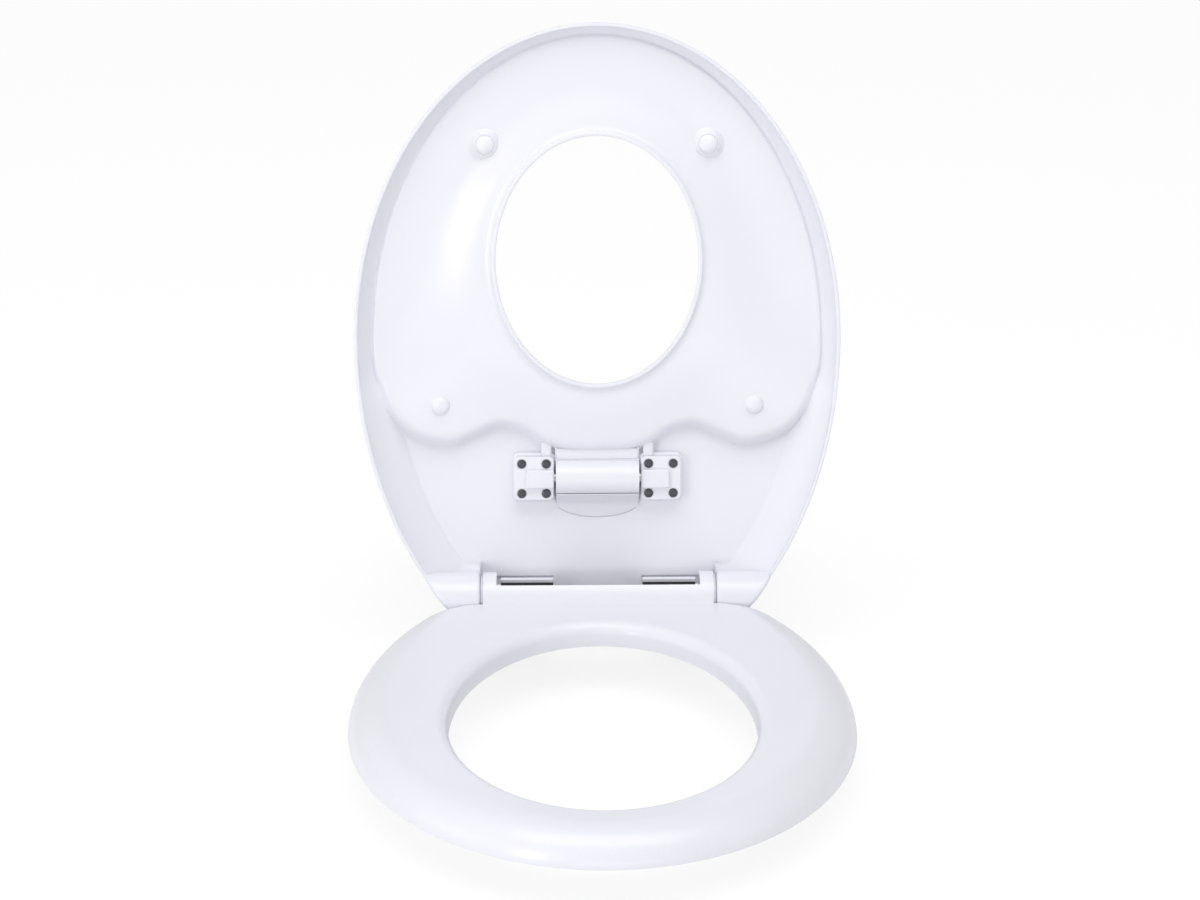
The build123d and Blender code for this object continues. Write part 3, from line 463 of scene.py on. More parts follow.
def modify(obj, kind, **settings):
    """Applies one modifier to a piece."""
    only(obj)
    modifier = obj.modifiers.new("shape", kind)
    for name, value in settings.items():
        setattr(modifier, name, value)
    bpy.ops.object.modifier_apply(modifier=modifier.name)
    return obj


def cut(obj, cutter):
    """Cuts the shape of one piece out of another."""
    modify(obj, "BOOLEAN", operation="DIFFERENCE", solver="EXACT", object=cutter)
    bpy.data.objects.remove(cutter)
    return obj


def smooth(obj, degrees):
    """Smooth shading that keeps edges sharper than an angle."""
    only(obj)
    bpy.ops.object.shade_smooth_by_angle(angle=math.radians(degrees))
    return obj


def welded_copy(node):
    """A copy of a CAD node's mesh as a new piece, its loose triangles joined."""
    obj = bpy.data.objects.new(node, frame["nodes"][node].data.copy())
    bpy.context.scene.collection.objects.link(obj)
    only(obj)
    bpy.ops.mesh.customdata_custom_splitnormals_clear()
    return edit(obj, weld)


def skin(columns, closed):
    """A skin through columns of points, each column a ring of rays round the piece."""
    grid = np.stack(columns, axis=1)
    rays, sections = grid.shape[:2]
    across = sections if closed else sections - 1
    bpy.ops.object.select_all(action="DESELECT")
    bpy.ops.mesh.primitive_grid_add(x_subdivisions=across, y_subdivisions=rays)
    obj = bpy.context.object
    grid = grid[np.arange(rays + 1) % rays][:, np.arange(across + 1) % sections]
    obj.data.vertices.foreach_set("co", grid.reshape(-1).astype(np.float32))
    obj.data.update()
    return obj


def lathe(profile, centre, rays=48):
    """A turned piece in the drawing: profile of radius and height under the lid, round a centre."""
    angle = 2 * math.pi * np.arange(rays) / rays
    columns = []
    for radius, height in profile:
        x = centre[0] + radius * np.cos(angle)
        y = centre[1] + radius * np.sin(angle)
        columns.append(np.stack([x, y, np.full(rays, centre[2] + height)], axis=-1))
    return edit(skin(columns, closed=False), weld_drawn, outwards)


def round_edges(obj, width, segments):
    """Rounds the edges of a piece that are sharper than 40 degrees."""
    sharp = math.radians(40)
    return modify(obj, "BEVEL", width=width, segments=segments, limit_method="ANGLE", angle_limit=sharp)


def block(centre, size, edge, rounding):
    """A block in the drawing with round upright edges and softly rounded outer edges."""
    bpy.ops.object.select_all(action="DESELECT")
    bpy.ops.mesh.primitive_cube_add(size=1, location=(0, 0, 0))
    obj = bpy.context.object
    obj.data.transform(Matrix.Diagonal((*size, 1)))
    if edge:
        upright = obj.data.attributes.new("bevel_weight_edge", "FLOAT", "EDGE")
        for item in obj.data.edges:
            a, b = (obj.data.vertices[i].co for i in item.vertices)
            upright.data[item.index].value = 1.0 if abs(a.z - b.z) > size[2] / 2 else 0.0
        modify(obj, "BEVEL", width=edge, segments=6, limit_method="WEIGHT", affect="EDGES")
        obj.data.attributes.remove(obj.data.attributes["bevel_weight_edge"])
    if rounding:
        round_edges(obj, rounding, 4)
    obj.data.transform(Matrix.Translation(centre))
    return obj


def prism(outline, way):
    """A prism in the drawing: a closed outline of points drawn out along a vector."""
    bpy.ops.object.select_all(action="DESELECT")
    bpy.ops.mesh.primitive_circle_add(vertices=len(outline), fill_type="NGON")
    obj = bpy.context.object
    obj.data.vertices.foreach_set("co", np.asarray(outline, np.float32).reshape(-1))
    obj.data.update()

    def draw_out():
        bpy.ops.mesh.extrude_region_move(TRANSFORM_OT_translate={"value": way, "orient_type": "GLOBAL"})

    return edit(obj, draw_out, select_all_again, outwards)


# Lid shell
def smoothstep(v, low, high):
    """Eased rise from 0 to 1 between two values."""
    t = np.clip((v - low) / (high - low), 0, 1)
    return t * t * (3 - 2 * t)


def soft_min(a, b, k):
    """The smaller of two heights, with a fillet of about k millimetres where they meet."""
    return 0.5 * (a + b - np.sqrt((a - b) ** 2 + k * k))


def inset_point(angle, inset):
    """Where rays from the child's opening meet the seat's outline drawn in by an inset."""
    dx, du = np.sin(angle), np.cos(angle)
    a = HALF_WIDTH - inset
    result = None
    for b in (FRONT - inset, REAR - inset):
        rise = HOLE_U - MID_U
        qa = (dx / a) ** 2 + (du / b) ** 2
        qb = 2 * rise * du / b**2
        qc = (rise / b) ** 2 - 1
        t = (-qb + np.sqrt(np.maximum(qb * qb - 4 * qa * qc, 0))) / (2 * qa)
        result = t if result is None else np.where(HOLE_U + result * du >= MID_U, result, t)
    return result


def egg_inset(x, u):
    """How far inside the seat's outline points lie."""
    low = np.full(x.shape, -30.0)
    high = np.full(x.shape, HALF_WIDTH - 1)
    v = u - MID_U
    for _ in range(26):
        mid = (low + high) / 2
        b = np.where(v >= 0, FRONT, REAR) - mid
        inside = (x / (HALF_WIDTH - mid)) ** 2 + (v / b) ** 2 < 1
        low = np.where(inside, mid, low)
        high = np.where(inside, high, mid)
    return (low + high) / 2


def resample(points, step):
    """A smooth curve through points, as a fine polyline."""
    p = np.array(points, float)
    p = np.vstack([2 * p[0] - p[1], p, 2 * p[-1] - p[-2]])
    out = []
    for i in range(1, len(p) - 2):
        count = max(2, int(np.linalg.norm(p[i + 1] - p[i]) / step))
        t = np.arange(count)[:, None] / count
        linear_part = (p[i + 1] - p[i - 1]) * t
        square_part = (2 * p[i - 1] - 5 * p[i] + 4 * p[i + 1] - p[i + 2]) * t**2
        cubic_part = (3 * p[i] - p[i - 1] - 3 * p[i + 1] + p[i + 2]) * t**3
        out.append(0.5 * (2 * p[i] + linear_part + square_part + cubic_part))
    return np.vstack(out + [p[-2:-1]])


def curve_distance(x, u, curve):
    """Distance of points from a polyline."""
    best = np.full(x.shape, 1e9)
    for a, b in zip(curve[:-1], curve[1:]):
        d = b - a
        t = np.clip(((x - a[0]) * d[0] + (u - a[1]) * d[1]) / max(d @ d, 1e-9), 0, 1)
        best = np.minimum(best, (x - a[0] - t * d[0]) ** 2 + (u - a[1] - t * d[1]) ** 2)
    return np.sqrt(best)


def inside_curve(x, u, curve):
    """Whether points lie inside a closed polyline."""
    odd = np.zeros(x.shape, bool)
    for a, b in zip(curve, np.roll(curve, -1, axis=0)):
        crosses = (a[1] > u) != (b[1] > u)
        rise = b[1] - a[1] if b[1] != a[1] else 1e-9
        odd ^= crosses & (x < (b[0] - a[0]) * (u - a[1]) / rise + a[0])
    return odd


def blur(field, sigma):
    """Smooths a raster of heights along both its sides."""
    reach = int(3 * sigma)
    kernel = np.exp(-0.5 * (np.arange(-reach, reach + 1) / sigma) ** 2)
    kernel /= kernel.sum()
    for axis in (0, 1):
        padded = np.pad(field, [(reach, reach) if i == axis else (0, 0) for i in (0, 1)], mode="edge")
        field = np.apply_along_axis(lambda line: np.convolve(line, kernel, mode="valid"), axis, padded)
    return field


class ChildSeat:
    """Heights of the sculpted child seat in the lid, kept as rasters of one millimetre."""

    def __init__(self):
        self.x = np.arange(0.0, 200.0)
        self.u = np.arange(-70.0, 445.0)
        xx, uu = np.meshgrid(self.x, self.u, indexing="ij")
        wave = resample([*CHILD_WAVE, WAVE_PAST_MIDDLE], 2.0)
        turn = np.linspace(math.pi / 2, 0.0, 90)
        front_x = (HALF_WIDTH - FLANGE_INSET_SIDE) * np.cos(turn)
        front_u = MID_U + (FRONT - FLANGE_INSET_FRONT) * np.sin(turn)
        front = np.stack([front_x, front_u], axis=-1)
        edge = np.vstack([[(WAVE_PAST_MIDDLE[0], front_u[0])], front, wave])
        valley = resample([*VALLEY, VALLEY_PAST_MIDDLE], 2.0)
        pool = np.vstack([valley[::-1], wave])
        edge_distance = curve_distance(xx, uu, edge)
        within = inside_curve(xx, uu, edge)
        self.beyond = np.where(within, -edge_distance, edge_distance)
        pool_distance = curve_distance(xx, uu, pool)
        pooled = inside_curve(xx, uu, pool)
        hole = np.sqrt((xx / HOLE_HALF_WIDTH) ** 2 + ((uu - HOLE_U) / HOLE_HALF_LENGTH) ** 2)
        hole_distance = np.maximum(hole - 1, 0) * (HOLE_HALF_WIDTH + HOLE_HALF_LENGTH) / 2
        # The valley rises from the lobes over the rear bumpers and drops again at the front
        bulge_n, valley_n, lobe_n, flange_n = (millimetres(n) for n in ("bulge", "valley", "lobe", "flange"))
        rim_n = lobe_n + (valley_n - lobe_n) * smoothstep(uu, 135, 235) - 2.5 * smoothstep(uu, 320, 385)
        share = hole_distance / np.maximum(hole_distance + pool_distance, 1e-6)
        inner = bulge_n + (rim_n - bulge_n) * smoothstep(share, 0.15, 1.15)
        outer_share = pool_distance / np.maximum(pool_distance + edge_distance, 1e-6)
        flange_n = flange_n - 3.0 * smoothstep(uu, 320, 430)
        flange = rim_n + (flange_n - rim_n) * outer_share
        outside = np.where(uu > 178, flange_n, rim_n)
        heights = np.where(pooled, inner, np.where(within, flange, outside))
        mirrored = np.vstack([heights[:0:-1], heights])
        self.heights = blur(mirrored, 5.0)[len(self.x) - 1 :]

    def sample(self, field, x, u):
        """Reads a raster at points, between its cells."""
        gx = np.clip(np.abs(x) - self.x[0], 0, len(self.x) - 1.001)
        gu = np.clip(u - self.u[0], 0, len(self.u) - 1.001)
        ix, iu = gx.astype(int), gu.astype(int)
        fx, fu = gx - ix, gu - iu
        low = field[ix, iu] * (1 - fu) + field[ix, iu + 1] * fu
        high = field[ix + 1, iu] * (1 - fu) + field[ix + 1, iu + 1] * fu
        return low * (1 - fx) + high * fx


def rounded_wall(q, radius, slope):
    """Height of a wall that starts with a rounded edge: q is how far beyond the edge."""
    lean = math.atan(slope)
    turn = radius * math.sin(lean)
    start = q + turn
    arc = radius - np.sqrt(np.maximum(radius**2 - np.clip(start, 0, turn) ** 2, 0))
    return arc + np.maximum(start - turn, 0) * slope


def quarter(s, start, run, low, rise):
    """A quarter of an ellipse from a rim up to a crown."""
    c = np.clip(1 - (s - start) / run, 0, 1)
    return low + rise * np.sqrt(np.maximum(1 - c * c, 0))


def under_heights(seat, x, u, inset):
    """Underside of the lid, before lips and bosses."""
    beyond = seat.sample(seat.beyond, x, u)
    level = seat.sample(seat.heights, x, u)
    softness = smoothstep(-u, -178, -150)
    soft = level + rounded_wall(beyond, *SOFT_WALL)
    crisp = level + rounded_wall(beyond, *CRISP_WALL)
    seat_n = soft * softness + crisp * (1 - softness)
    bowl = quarter(inset, RIM_WIDTH, WALL_RUN, RIM_N, CROWN_RISE)
    slant = RIM_N + (PANEL_N - RIM_N) * np.clip((inset - RIM_WIDTH) / SLANT_RUN, 0, 2) ** 0.75
    rear_share = smoothstep(-u, -175, -145)
    side = slant * rear_share + bowl * (1 - rear_share)
    ledge = quarter(u, LEDGE_START_U, LEDGE_RUN, RIM_N, CROWN_RISE)
    wall = np.where(np.abs(x) > EAR_INNER - 4, soft_min(side, ledge, 2.5), side)
    panel = soft_min(wall, np.full(x.shape, PANEL_N), 0.7)
    return soft_min(seat_n, panel, 1.0 + 1.6 * softness)


def top_heights(seat, x, u, inset):
    """Top of the lid: dome, deck and the child's dish."""
    beyond = seat.sample(seat.beyond, x, u)
    level = seat.sample(seat.heights, x, u)
    floor_n = np.minimum(level + millimetres("wall"), DISH_FLOOR_N)
    margin = 3.2 - 2.2 * smoothstep(-u, -190, -150)
    dish = floor_n + rounded_wall(beyond + margin, *DISH_WALL)
    dome = quarter(inset, 0.0, DOME_RUN, RIM_N, DECK_N - RIM_N)
    return soft_min(dish, dome, 1.6)


def lid_shell():
    """The lid as one closed skin: underside, rim, dome and dish, round the child's opening."""
    seat = ChildSeat()
    rays = 460
    angle = 2 * math.pi * np.arange(rays) / rays
    dx, du = np.sin(angle), np.cos(angle)
    start = 1 / np.sqrt((dx / HOLE_HALF_WIDTH) ** 2 + (du / HOLE_HALF_LENGTH) ** 2)
    lip_width = millimetres("lip")
    columns = []

    def column(t, n):
        columns.append(np.stack([t * dx, HOLE_U + t * du, -n], axis=-1))

    lip = ((0.0, 3.0), (0.0, 1.0), (0.2, 0.35), (0.8, 0.0), (lip_width - 0.9, 0.0), (lip_width - 0.3, 0.3))
    for reach, n in lip:
        column(start + reach, np.full(rays, n))
    near = [0.0, 0.5, 1.1, 1.8, 2.7, 3.8, 5.2, 7.0]
    for reach in near:
        t = start + lip_width + reach
        n = under_heights(seat, t * dx, HOLE_U + t * du, np.full(rays, MIDDLE_INSET))
        column(t, n - (n - 0.8) * math.exp(-reach / 1.5))
    first = start + lip_width + near[-1]
    last = inset_point(angle, WALL_INSETS[0])
    floor_sections = 72
    for i in range(1, floor_sections):
        t = first + (last - first) * i / floor_sections
        x, u = t * dx, HOLE_U + t * du
        column(t, under_heights(seat, x, u, egg_inset(x, u)))
    for inset in WALL_INSETS:
        t = inset_point(angle, inset)
        x, u = t * dx, HOLE_U + t * du
        column(t, under_heights(seat, x, u, np.full(rays, inset)))
    for inset, lift in RIM_TOP:
        column(inset_point(angle, inset), np.full(rays, RIM_N + lift))
    for turn in np.linspace(4, 90, 14):
        inset = DOME_RUN * (1 - math.cos(math.radians(turn)))
        t = inset_point(angle, inset)
        x, u = t * dx, HOLE_U + t * du
        column(t, top_heights(seat, x, u, np.full(rays, inset)))
    first = inset_point(angle, DOME_RUN)
    last = start + DISH_EDGE
    top_sections = 46
    for i in range(1, top_sections + 1):
        t = first + (last - first) * i / top_sections
        x, u = t * dx, HOLE_U + t * du
        column(t, top_heights(seat, x, u, egg_inset(x, u)))
    edge_n = top_heights(seat, last * dx, HOLE_U + last * du, np.full(rays, MIDDLE_INSET))
    for turn in (18, 36, 54, 72, 90):
        c, s = math.cos(math.radians(turn)), math.sin(math.radians(turn))
        column(start + DISH_EDGE * (1 - s), edge_n - DISH_EDGE_ROUND * (1 - c))
    return edit(skin(columns, closed=True), weld_drawn, outwards)


def keep_side(obj, point, way):
    """Cuts a piece across, keeps what lies the way that a vector points, and closes the cut."""

    def halve():
        bpy.ops.mesh.bisect(plane_co=point, plane_no=way, use_fill=True, clear_inner=True, clear_outer=False)

    return edit(obj, halve)


def lid_cutter():
    """What is open in the lid: its middle over the hinge, and the slot of the cover's barrel."""
    reach = 60.0
    middle = block((0, MIDDLE_END_U - reach, 0), (2 * EAR_INNER, 2 * reach, 4 * reach), 0, 0)
    turn = np.linspace(math.radians(160), math.radians(380), 40)
    radius = BARREL_RADIUS + SLOT_GAP
    arc = [(COVER_AXIS_U + radius * math.cos(t), COVER_AXIS_N + radius * math.sin(t)) for t in turn]
    slot_front = COVER_AXIS_U + BARREL_RADIUS + SLOT_FRONT
    slot_rear = COVER_AXIS_U - BARREL_RADIUS - SLOT_GAP
    above = 45.0
    profile = [*arc, (slot_front, SLOT_FRONT_N), (slot_front, above), (slot_rear, above)]
    half = BARREL_HALF + SLOT_GAP
    slot = prism([(-half, u, -n) for u, n in profile], (2 * half, 0, 0))
    return join([middle, slot])


def recess_cutter():
    """The shallow recess with a round end behind the barrel."""
    half = BARREL_HALF + SLOT_GAP
    turn = np.linspace(math.pi, 2 * math.pi, 40)
    arc = [(half * math.cos(t), FLAP_U + RECESS_REACH * math.sin(t)) for t in turn]
    outline = [*arc, (half, COVER_AXIS_U), (-half, COVER_AXIS_U)]
    top = PANEL_N + RECESS_DEPTH
    return prism([(x, u, -top) for x, u in outline], (0, 0, 6.0))


def slot_flap():
    """The round-ended flap behind the barrel, and the lip that carries on the barrel's round."""
    half = BARREL_HALF - FLAP_GAP
    front = FLAP_U + 7.0
    turn = np.linspace(math.pi, 2 * math.pi, 40)
    outline = [(half * math.cos(t), FLAP_U + FLAP_REACH * math.sin(t)) for t in turn]
    outline += [(half, front), (-half, front)]
    plate = prism([(x, u, -(PANEL_N + FLAP_THICK / 2)) for x, u in outline], (0, 0, FLAP_THICK))
    round_edges(plate, 0.3, 3)
    inner, outer = BARREL_RADIUS + 0.2, BARREL_RADIUS + 0.55

    def arc(radius, start, stop):
        turn = np.linspace(start, stop, 12)
        return [(COVER_AXIS_U - radius * math.cos(t), COVER_AXIS_N + radius * math.sin(t)) for t in turn]

    hollow = [(LIP_TIP_U + 9.9 * s, 19.3 - 8.7 * s**2.2) for s in np.linspace(0, 1, 14)]
    profile = [*arc(inner, -0.66, 0.6), (LIP_TIP_U, PANEL_N), *hollow, *arc(outer, -0.12, -0.66)]
    fillet = prism([(-half, u, -n) for u, n in profile], (2 * half, 0, 0))
    return [plate, fillet]


def ear(sign):
    """One ear of the lid: a round body on the hinge, its end cut to the seat's outline."""
    rays = 96
    angle = 2 * math.pi * np.arange(rays) / rays
    columns = []

    def column(x, radius):
        u = radius * np.cos(angle)
        columns.append(np.stack([sign * x, u, radius * np.sin(angle)], axis=-1))

    def outline_x(radius):
        return HALF_WIDTH * np.sqrt(1 - ((radius * np.cos(angle) - MID_U) / REAR) ** 2)

    edge = 2.5
    inner = np.full(rays, EAR_INNER)
    for radius in (0.0, 8.0, KNUCKLE_RADIUS - edge):
        column(inner, radius)
    turns = [math.radians(t) for t in (15, 30, 45, 60, 75, 90)]
    for turn in turns:
        column(inner + edge * (1 - math.cos(turn)), KNUCKLE_RADIUS - edge + edge * math.sin(turn))
    outer_edge = 4.0
    for share in (0.2, 0.4, 0.6, 0.8):
        x = EAR_INNER + edge + (outline_x(KNUCKLE_RADIUS) - outer_edge - EAR_INNER - edge) * share
        column(x, KNUCKLE_RADIUS)
    for turn in (0.0, *turns):
        radius = KNUCKLE_RADIUS - outer_edge + outer_edge * math.cos(turn)
        column(outline_x(radius) - outer_edge + outer_edge * math.sin(turn), radius)
    for radius in (8.0, 0.0):
        column(outline_x(radius), radius)
    return edit(skin(columns, closed=False), weld_drawn, outwards)


def soft_boss(x, u, radius, depth):
    """A low round boss that flares into the floor round it."""
    profile = [(0, 0), (radius - 1.2, 0), (radius - 0.5, -0.2), (radius, -0.7), (radius + 0.5, -1.6)]
    profile += [(radius + 1.4, -2.6), (radius + 2.8, -3.4), (radius + 2.8, -depth), (0, -depth)]
    return lathe(profile, (x, u, -BOSS_N), 64)


class TOILETSEAT_OT_materials(bpy.types.Operator):
    """Materials of the part, and their place on the pieces that come from the frame"""

    bl_idname = "toiletseat.materials"
    bl_label = "Materials"

    def execute(self, context):
        FINISHES.update(make_finishes())
        slots = {s["node"]: s["material_slot"] for s in frame["record"]["subparts"]}
        for name, obj in frame["nodes"].items():
            obj.data.materials.clear()
            obj.data.materials.append(FINISHES[slots[name]])
        return {"FINISHED"}


class TOILETSEAT_OT_lid(bpy.types.Operator):
    """Lid with the sculpted child seat, its ears, bosses and rear edge"""

    bl_idname = "toiletseat.lid"
    bl_label = "Lid"

    def execute(self, context):
        shell = lid_shell()
        keep_side(shell, (0, SHELL_END_U, 0), (0, 1, 0))
        cut(shell, lid_cutter())
        cut(shell, recess_cutter())
        smooth(to_world(shell), 38)
        dress(shell, "lid_with_child_seat", "lid", "white_plastic", ["lid_seat"])

        rear = welded_copy("lid_seat")
        rear.data.transform(drawn_to_world().inverted())
        keep_side(rear, (EAR_INNER, 0, 0), (-1, 0, 0))
        keep_side(rear, (-EAR_INNER, 0, 0), (1, 0, 0))
        keep_side(rear, (0, MIDDLE_END_U, 0), (0, -1, 0))
        smooth(to_world(rear), 35)
        modify(rear, "WEIGHTED_NORMAL", weight=100, keep_sharp=True)
        dress(rear, "lid_rear_edge", "lid", "white_plastic")

        for side, sign in (("left", -1), ("right", 1)):
            dress(smooth(to_world(ear(sign)), 50), f"lid_ear_{side}", "lid", "white_plastic")
            bosses = [soft_boss(sign * x, u, radius, depth) for x, u, radius, depth in BUMPERS.values()]
            centre_x = sign * (BRACKET_INNER + BRACKET_WIDTH / 2)
            foot_size = (BRACKET_WIDTH + 3, BRACKET_LENGTH + 4, 10.0)
            foot = block((centre_x, COVER_AXIS_U, -(PEDESTAL_N + 7.0)), foot_size, 5, 2.5)
            rib = block((sign * RIB_X, RIB_U, -(PEDESTAL_N + 5.0)), (8.0, 15.0, 9.0), 0, 2.0)
            relief = join([*bosses, foot, rib])
            dress(smooth(to_world(relief), 50), f"lid_bosses_{side}", "lid", "white_plastic")
            width = EAR_INNER - NOTCH_INNER
            start_x = NOTCH_INNER if sign > 0 else -EAR_INNER
            wall = prism([(start_x, u, -n) for u, n in NOTCH_BACK], (width, 0, 0))
            dress(smooth(to_world(wall), 30), f"lid_notch_back_{side}", "lid", "white_plastic")
        bar = block((0, BAR_U, -BAR_N), (2 * BARREL_HALF, BAR_WIDTH, BAR_THICK), 0, 1.5)
        bar_and_flap = join([bar, *slot_flap()])
        dress(smooth(to_world(bar_and_flap), 50), "lid_slot_bar_and_flap", "lid", "white_plastic")
        return {"FINISHED"}


class TOILETSEAT_OT_shells(bpy.types.Operator):
    """Adult ring and small cover with smooth skins"""

    bl_idname = "toiletseat.shells"
    bl_label = "Ring and cover"

    def execute(self, context):
        for node, body in (("seat_ring", "ring"), ("child_cover", "cover")):
            piece = smooth(welded_copy(node), 35)
            modify(piece, "WEIGHTED_NORMAL", weight=100, keep_sharp=True)
            dress(piece, f"{node}_skin", body, "white_plastic", [node])
        return {"FINISHED"}


class TOILETSEAT_OT_bumpers(bpy.types.Operator):
    """Domed bumpers of the lid, each with a thin ring round it"""

    bl_idname = "toiletseat.bumpers"
    bl_label = "Bumpers"

    def execute(self, context):
        height = millimetres("dome")
        foot_height, sunk = 0.5, -1.5
        turns = np.linspace(0, math.pi / 2, 12)
        rise = height - foot_height
        profile = [(BUMPER_RADIUS * math.sin(t), foot_height + rise * math.cos(t)) for t in turns]
        foot = ((0, 0.15), (0.3, 0.1), (0.5, 0.4), (1.0, 0.45), (1.2, 0.1), (1.2, sunk))
        profile += [(BUMPER_RADIUS + beyond, level) for beyond, level in foot]
        profile.append((0, sunk))
        for place, (x, u, _, _) in BUMPERS.items():
            for side, sign in (("left", -1), ("right", 1)):
                piece = lathe(profile, (sign * x, u, -BOSS_N), 64)
                name = f"lid_bumper_{place}_{side}"
                dress(smooth(to_world(piece), 45), f"{name}_dome", "lid", "bumper", [name])
        return {"FINISHED"}


class TOILETSEAT_OT_brackets(bpy.types.Operator):
    """Brackets of the small cover with their cross-recess screws"""

    bl_idname = "toiletseat.brackets"
    bl_label = "Brackets and screws"

    def execute(self, context):
        turns = np.linspace(0, math.pi / 2, 8)
        head = [(SCREW_RADIUS * math.sin(t), 0.3 + 0.7 * math.cos(t)) for t in turns]
        head += [(SCREW_RADIUS, -0.8), (0, -0.8)]
        pocket = [(0, 2), (POCKET_RADIUS, 2), (POCKET_RADIUS - 0.2, -0.6), (0, -0.6)]
        depth = millimetres("cross")
        for side, sign in (("left", -1), ("right", 1)):
            centre_x = sign * (BRACKET_INNER + BRACKET_WIDTH / 2)
            plate_size = (BRACKET_WIDTH, BRACKET_LENGTH, PLATE_THICK)
            plate = block((centre_x, COVER_AXIS_U, -(BRACKET_N + PLATE_THICK / 2)), plate_size, 4.0, 0.7)
            rise_x = sign * (BRACKET_INNER + RISE_LENGTH / 2)
            rise = block((rise_x, COVER_AXIS_U, -(BRACKET_N - 1.6)), (RISE_LENGTH, 14.2, 4.8), 1.6, 1.0)
            screws, pockets, crosses = [], [], []
            for dx in (-BRACKET_SCREW_X / 2, BRACKET_SCREW_X / 2):
                for du in (-BRACKET_SCREW_U / 2, BRACKET_SCREW_U / 2):
                    place = (centre_x + dx, COVER_AXIS_U + du, -BRACKET_N)
                    screws.append(lathe(head, place, 40))
                    pockets.append(lathe(pocket, place, 40))
                    # Each screw was stopped at an angle of its own
                    turn = Matrix.Rotation(0.6 + 0.9 * dx * du, 4, "Z")
                    for arm in ((CROSS_LENGTH, CROSS_WIDTH), (CROSS_WIDTH, CROSS_LENGTH)):
                        slot = block((0, 0, 1.0), (*arm, 2 * depth), 0, 0)
                        slot.data.transform(Matrix.Translation(place) @ turn)
                        crosses.append(slot)
            bracket = smooth(to_world(join([cut(plate, join(pockets)), rise])), 40)
            dress(bracket, f"bracket_plate_{side}", "lid", "white_plastic", [f"hinge_bracket_{side}"])
            heads = join(screws)
            cross = join(crosses)
            modify(heads, "BOOLEAN", operation="DIFFERENCE", solver="EXACT", use_self=True, object=cross)
            bpy.data.objects.remove(cross)
            dress(smooth(to_world(heads), 35), f"bracket_screw_heads_{side}", "lid", "dark_steel")
        return {"FINISHED"}


class TOILETSEAT_OT_posts(bpy.types.Operator):
    """Hoods over the black barrels of the hinge posts, and washers between knuckles and ears"""

    bl_idname = "toiletseat.posts"
    bl_label = "Post hoods and washers"

    def execute(self, context):
        low, high = BARREL_HOOD
        turn = [math.radians(t) for t in range(85, 166, 5)]
        hood_arcs = [(-high * math.cos(t), high * math.sin(t)) for t in turn]
        hood_arcs += [(-low * math.cos(t), low * math.sin(t)) for t in reversed(turn)]
        round_turn = np.linspace(0, 2 * math.pi, 65)[:-1]
        circle = [(WASHER_RADIUS * math.cos(t), WASHER_RADIUS * math.sin(t)) for t in round_turn]
        thick = EAR_INNER - KNUCKLE_OUTER - 2 * WASHER_GAP
        for side, sign in (("left", -1), ("right", 1)):
            start = sign * POST_X - POST_WIDTH / 2
            hood = self.along_hinge(hood_arcs, start, POST_WIDTH)
            dress(hood, f"post_hood_{side}", "mount", "white_plastic")
            near = KNUCKLE_OUTER + WASHER_GAP
            washer = self.along_hinge(circle, near if sign > 0 else -(near + thick), thick)
            dress(washer, f"hinge_washer_{side}", "mount", "white_plastic")
        return {"FINISHED"}

    def along_hinge(self, outline, start, width):
        """A prism along the hinge, from points round its axis."""
        points = [(start * MM, y * MM, (AXIS_HEIGHT + z) * MM) for y, z in outline]
        return smooth(prism(points, (width * MM, 0, 0)), 30)


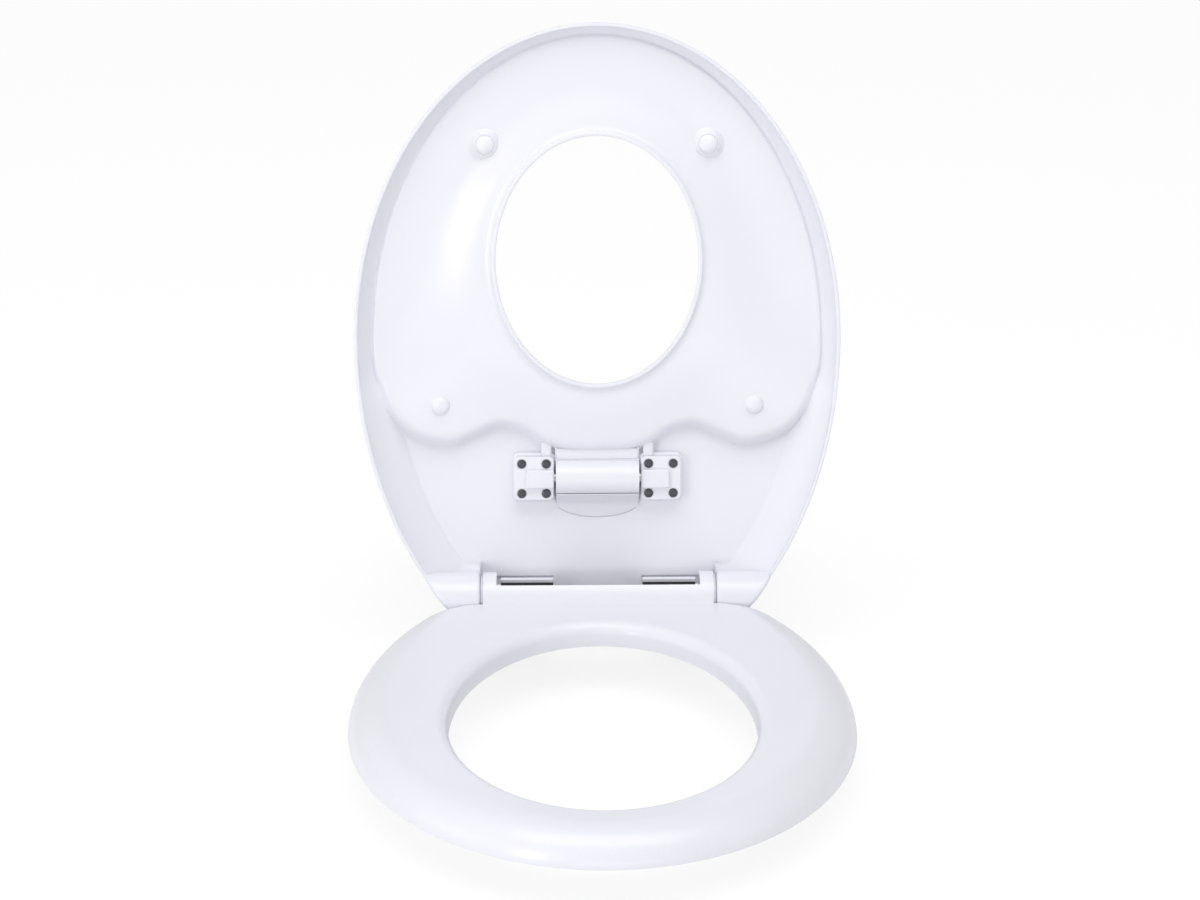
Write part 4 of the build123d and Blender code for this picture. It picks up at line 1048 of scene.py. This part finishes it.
class TOILETSEAT_OT_stage(bpy.types.Operator):
    """Camera, lamps, floor and world"""

    bl_idname = "toiletseat.stage"
    bl_label = "Stage"

    def execute(self, context):
        scene = context.scene
        scene.view_settings.view_transform = "Standard"
        ahead = -math.cos(CAMERA_ELEVATION)
        x = ahead * math.sin(CAMERA_AZIMUTH)
        y = ahead * math.cos(CAMERA_AZIMUTH)
        towards = Vector((x, y, math.sin(CAMERA_ELEVATION)))
        camera = bpy.data.objects.new("camera", bpy.data.cameras.new("camera"))
        camera.data.lens = CAMERA_LENS
        camera.data.sensor_width = 36
        camera.data.shift_x = CAMERA_SHIFT
        camera.location = Vector(CAMERA_AIM) + CAMERA_DISTANCE * towards
        camera.rotation_euler = (-towards).to_track_quat("-Z", "Y").to_euler()
        scene.collection.objects.link(camera)
        scene.camera = camera

        for name, (where, width, height, power) in LAMPS.items():
            data = bpy.data.lights.new(name, "AREA")
            data.shape = "RECTANGLE"
            data.size = width
            data.size_y = height
            data.energy = power
            lamp = bpy.data.objects.new(name, data)
            lamp.location = where
            lamp.rotation_euler = (LAMP_AIM - Vector(where)).to_track_quat("-Z", "Y").to_euler()
            scene.collection.objects.link(lamp)
        self.light_world(scene)
        self.lay_floor()
        return {"FINISHED"}

    def light_world(self, scene):
        """White to the camera, and softer as a light."""
        world = bpy.data.worlds.new("studio")
        scene.world = world
        world.use_nodes = True
        tree = world.node_tree
        tree.nodes.clear()
        path = add_node(tree, "ShaderNodeLightPath")
        seen = add_node(
            tree,
            "ShaderNodeMath",
            settings={"operation": "MAXIMUM"},
            links={0: path.outputs["Is Camera Ray"], 1: path.outputs["Is Transmission Ray"]},
        )
        strength = add_node(
            tree,
            "ShaderNodeMapRange",
            inputs={"To Min": WORLD_LIGHT, "To Max": 1.0},
            links={"Value": seen.outputs[0]},
        )
        glow = add_node(
            tree,
            "ShaderNodeBackground",
            inputs={"Color": (1, 1, 1, 1)},
            links={"Strength": strength.outputs[0]},
        )
        add_node(tree, "ShaderNodeOutputWorld", links={0: glow.outputs[0]})

    def lay_floor(self):
        """Pale floor just under the part, lifted towards white for the camera but with its shadow kept."""
        bpy.ops.object.select_all(action="DESELECT")
        bpy.ops.mesh.primitive_plane_add(size=12, location=(0, 0, CAD_BOX[0][2] - FLOOR_GAP))
        floor = bpy.context.object
        floor.name = "floor"
        material, tree, output = new_material("white_paper_sweep")
        diffuse = add_node(tree, "ShaderNodeBsdfDiffuse", inputs={"Color": linear("#F8F8F8")})
        light = add_node(tree, "ShaderNodeEmission", inputs={"Color": (1, 1, 1, 1), "Strength": FLOOR_GLOW})
        path = add_node(tree, "ShaderNodeLightPath")
        share = add_node(
            tree,
            "ShaderNodeMath",
            settings={"operation": "MULTIPLY"},
            inputs={1: FLOOR_GLOW_SHARE},
            links={0: path.outputs["Is Camera Ray"]},
        )
        blend = add_node(
            tree,
            "ShaderNodeMixShader",
            links={0: share.outputs[0], 1: diffuse.outputs[0], 2: light.outputs[0]},
        )
        tree.links.new(blend.outputs[0], output.inputs[0])
        floor.data.materials.append(material)


STEPS = (
    TOILETSEAT_OT_materials,
    TOILETSEAT_OT_shells,
    TOILETSEAT_OT_lid,
    TOILETSEAT_OT_bumpers,
    TOILETSEAT_OT_brackets,
    TOILETSEAT_OT_posts,
    TOILETSEAT_OT_stage,
)


class TOILETSEAT_PT_panel(bpy.types.Panel):
    """Sizes, colours and steps of the toilet seat"""

    bl_idname = "TOILETSEAT_PT_panel"
    bl_label = "Toilet Seat"
    bl_space_type = "VIEW_3D"
    bl_region_type = "UI"
    bl_category = "Toilet Seat"

    def draw(self, context):
        for group in (context.scene.toilet_seat_sizes, context.scene.toilet_seat_colours):
            box = self.layout.box()
            for name in group.__annotations__:
                box.prop(group, name)
        for step in STEPS:
            self.layout.operator(step.bl_idname)


CLASSES = (ToiletSeatSizes, ToiletSeatColours, *STEPS, TOILETSEAT_PT_panel)


def register():
    """Adds the sizes, the colours, the steps and the panel."""
    for cls in CLASSES:
        bpy.utils.register_class(cls)
    bpy.types.Scene.toilet_seat_sizes = bpy.props.PointerProperty(type=ToiletSeatSizes)
    bpy.types.Scene.toilet_seat_colours = bpy.props.PointerProperty(type=ToiletSeatColours)


def unregister():
    """Takes them away again."""
    del bpy.types.Scene.toilet_seat_colours
    del bpy.types.Scene.toilet_seat_sizes
    for cls in reversed(CLASSES):
        bpy.utils.unregister_class(cls)


def main():
    """Dresses the frame."""
    register()
    bpy.ops.toiletseat.materials()
    bpy.ops.toiletseat.shells()
    bpy.ops.toiletseat.lid()
    bpy.ops.toiletseat.bumpers()
    bpy.ops.toiletseat.brackets()
    bpy.ops.toiletseat.posts()
    bpy.ops.toiletseat.stage()


if __name__ == "__main__":
    main()
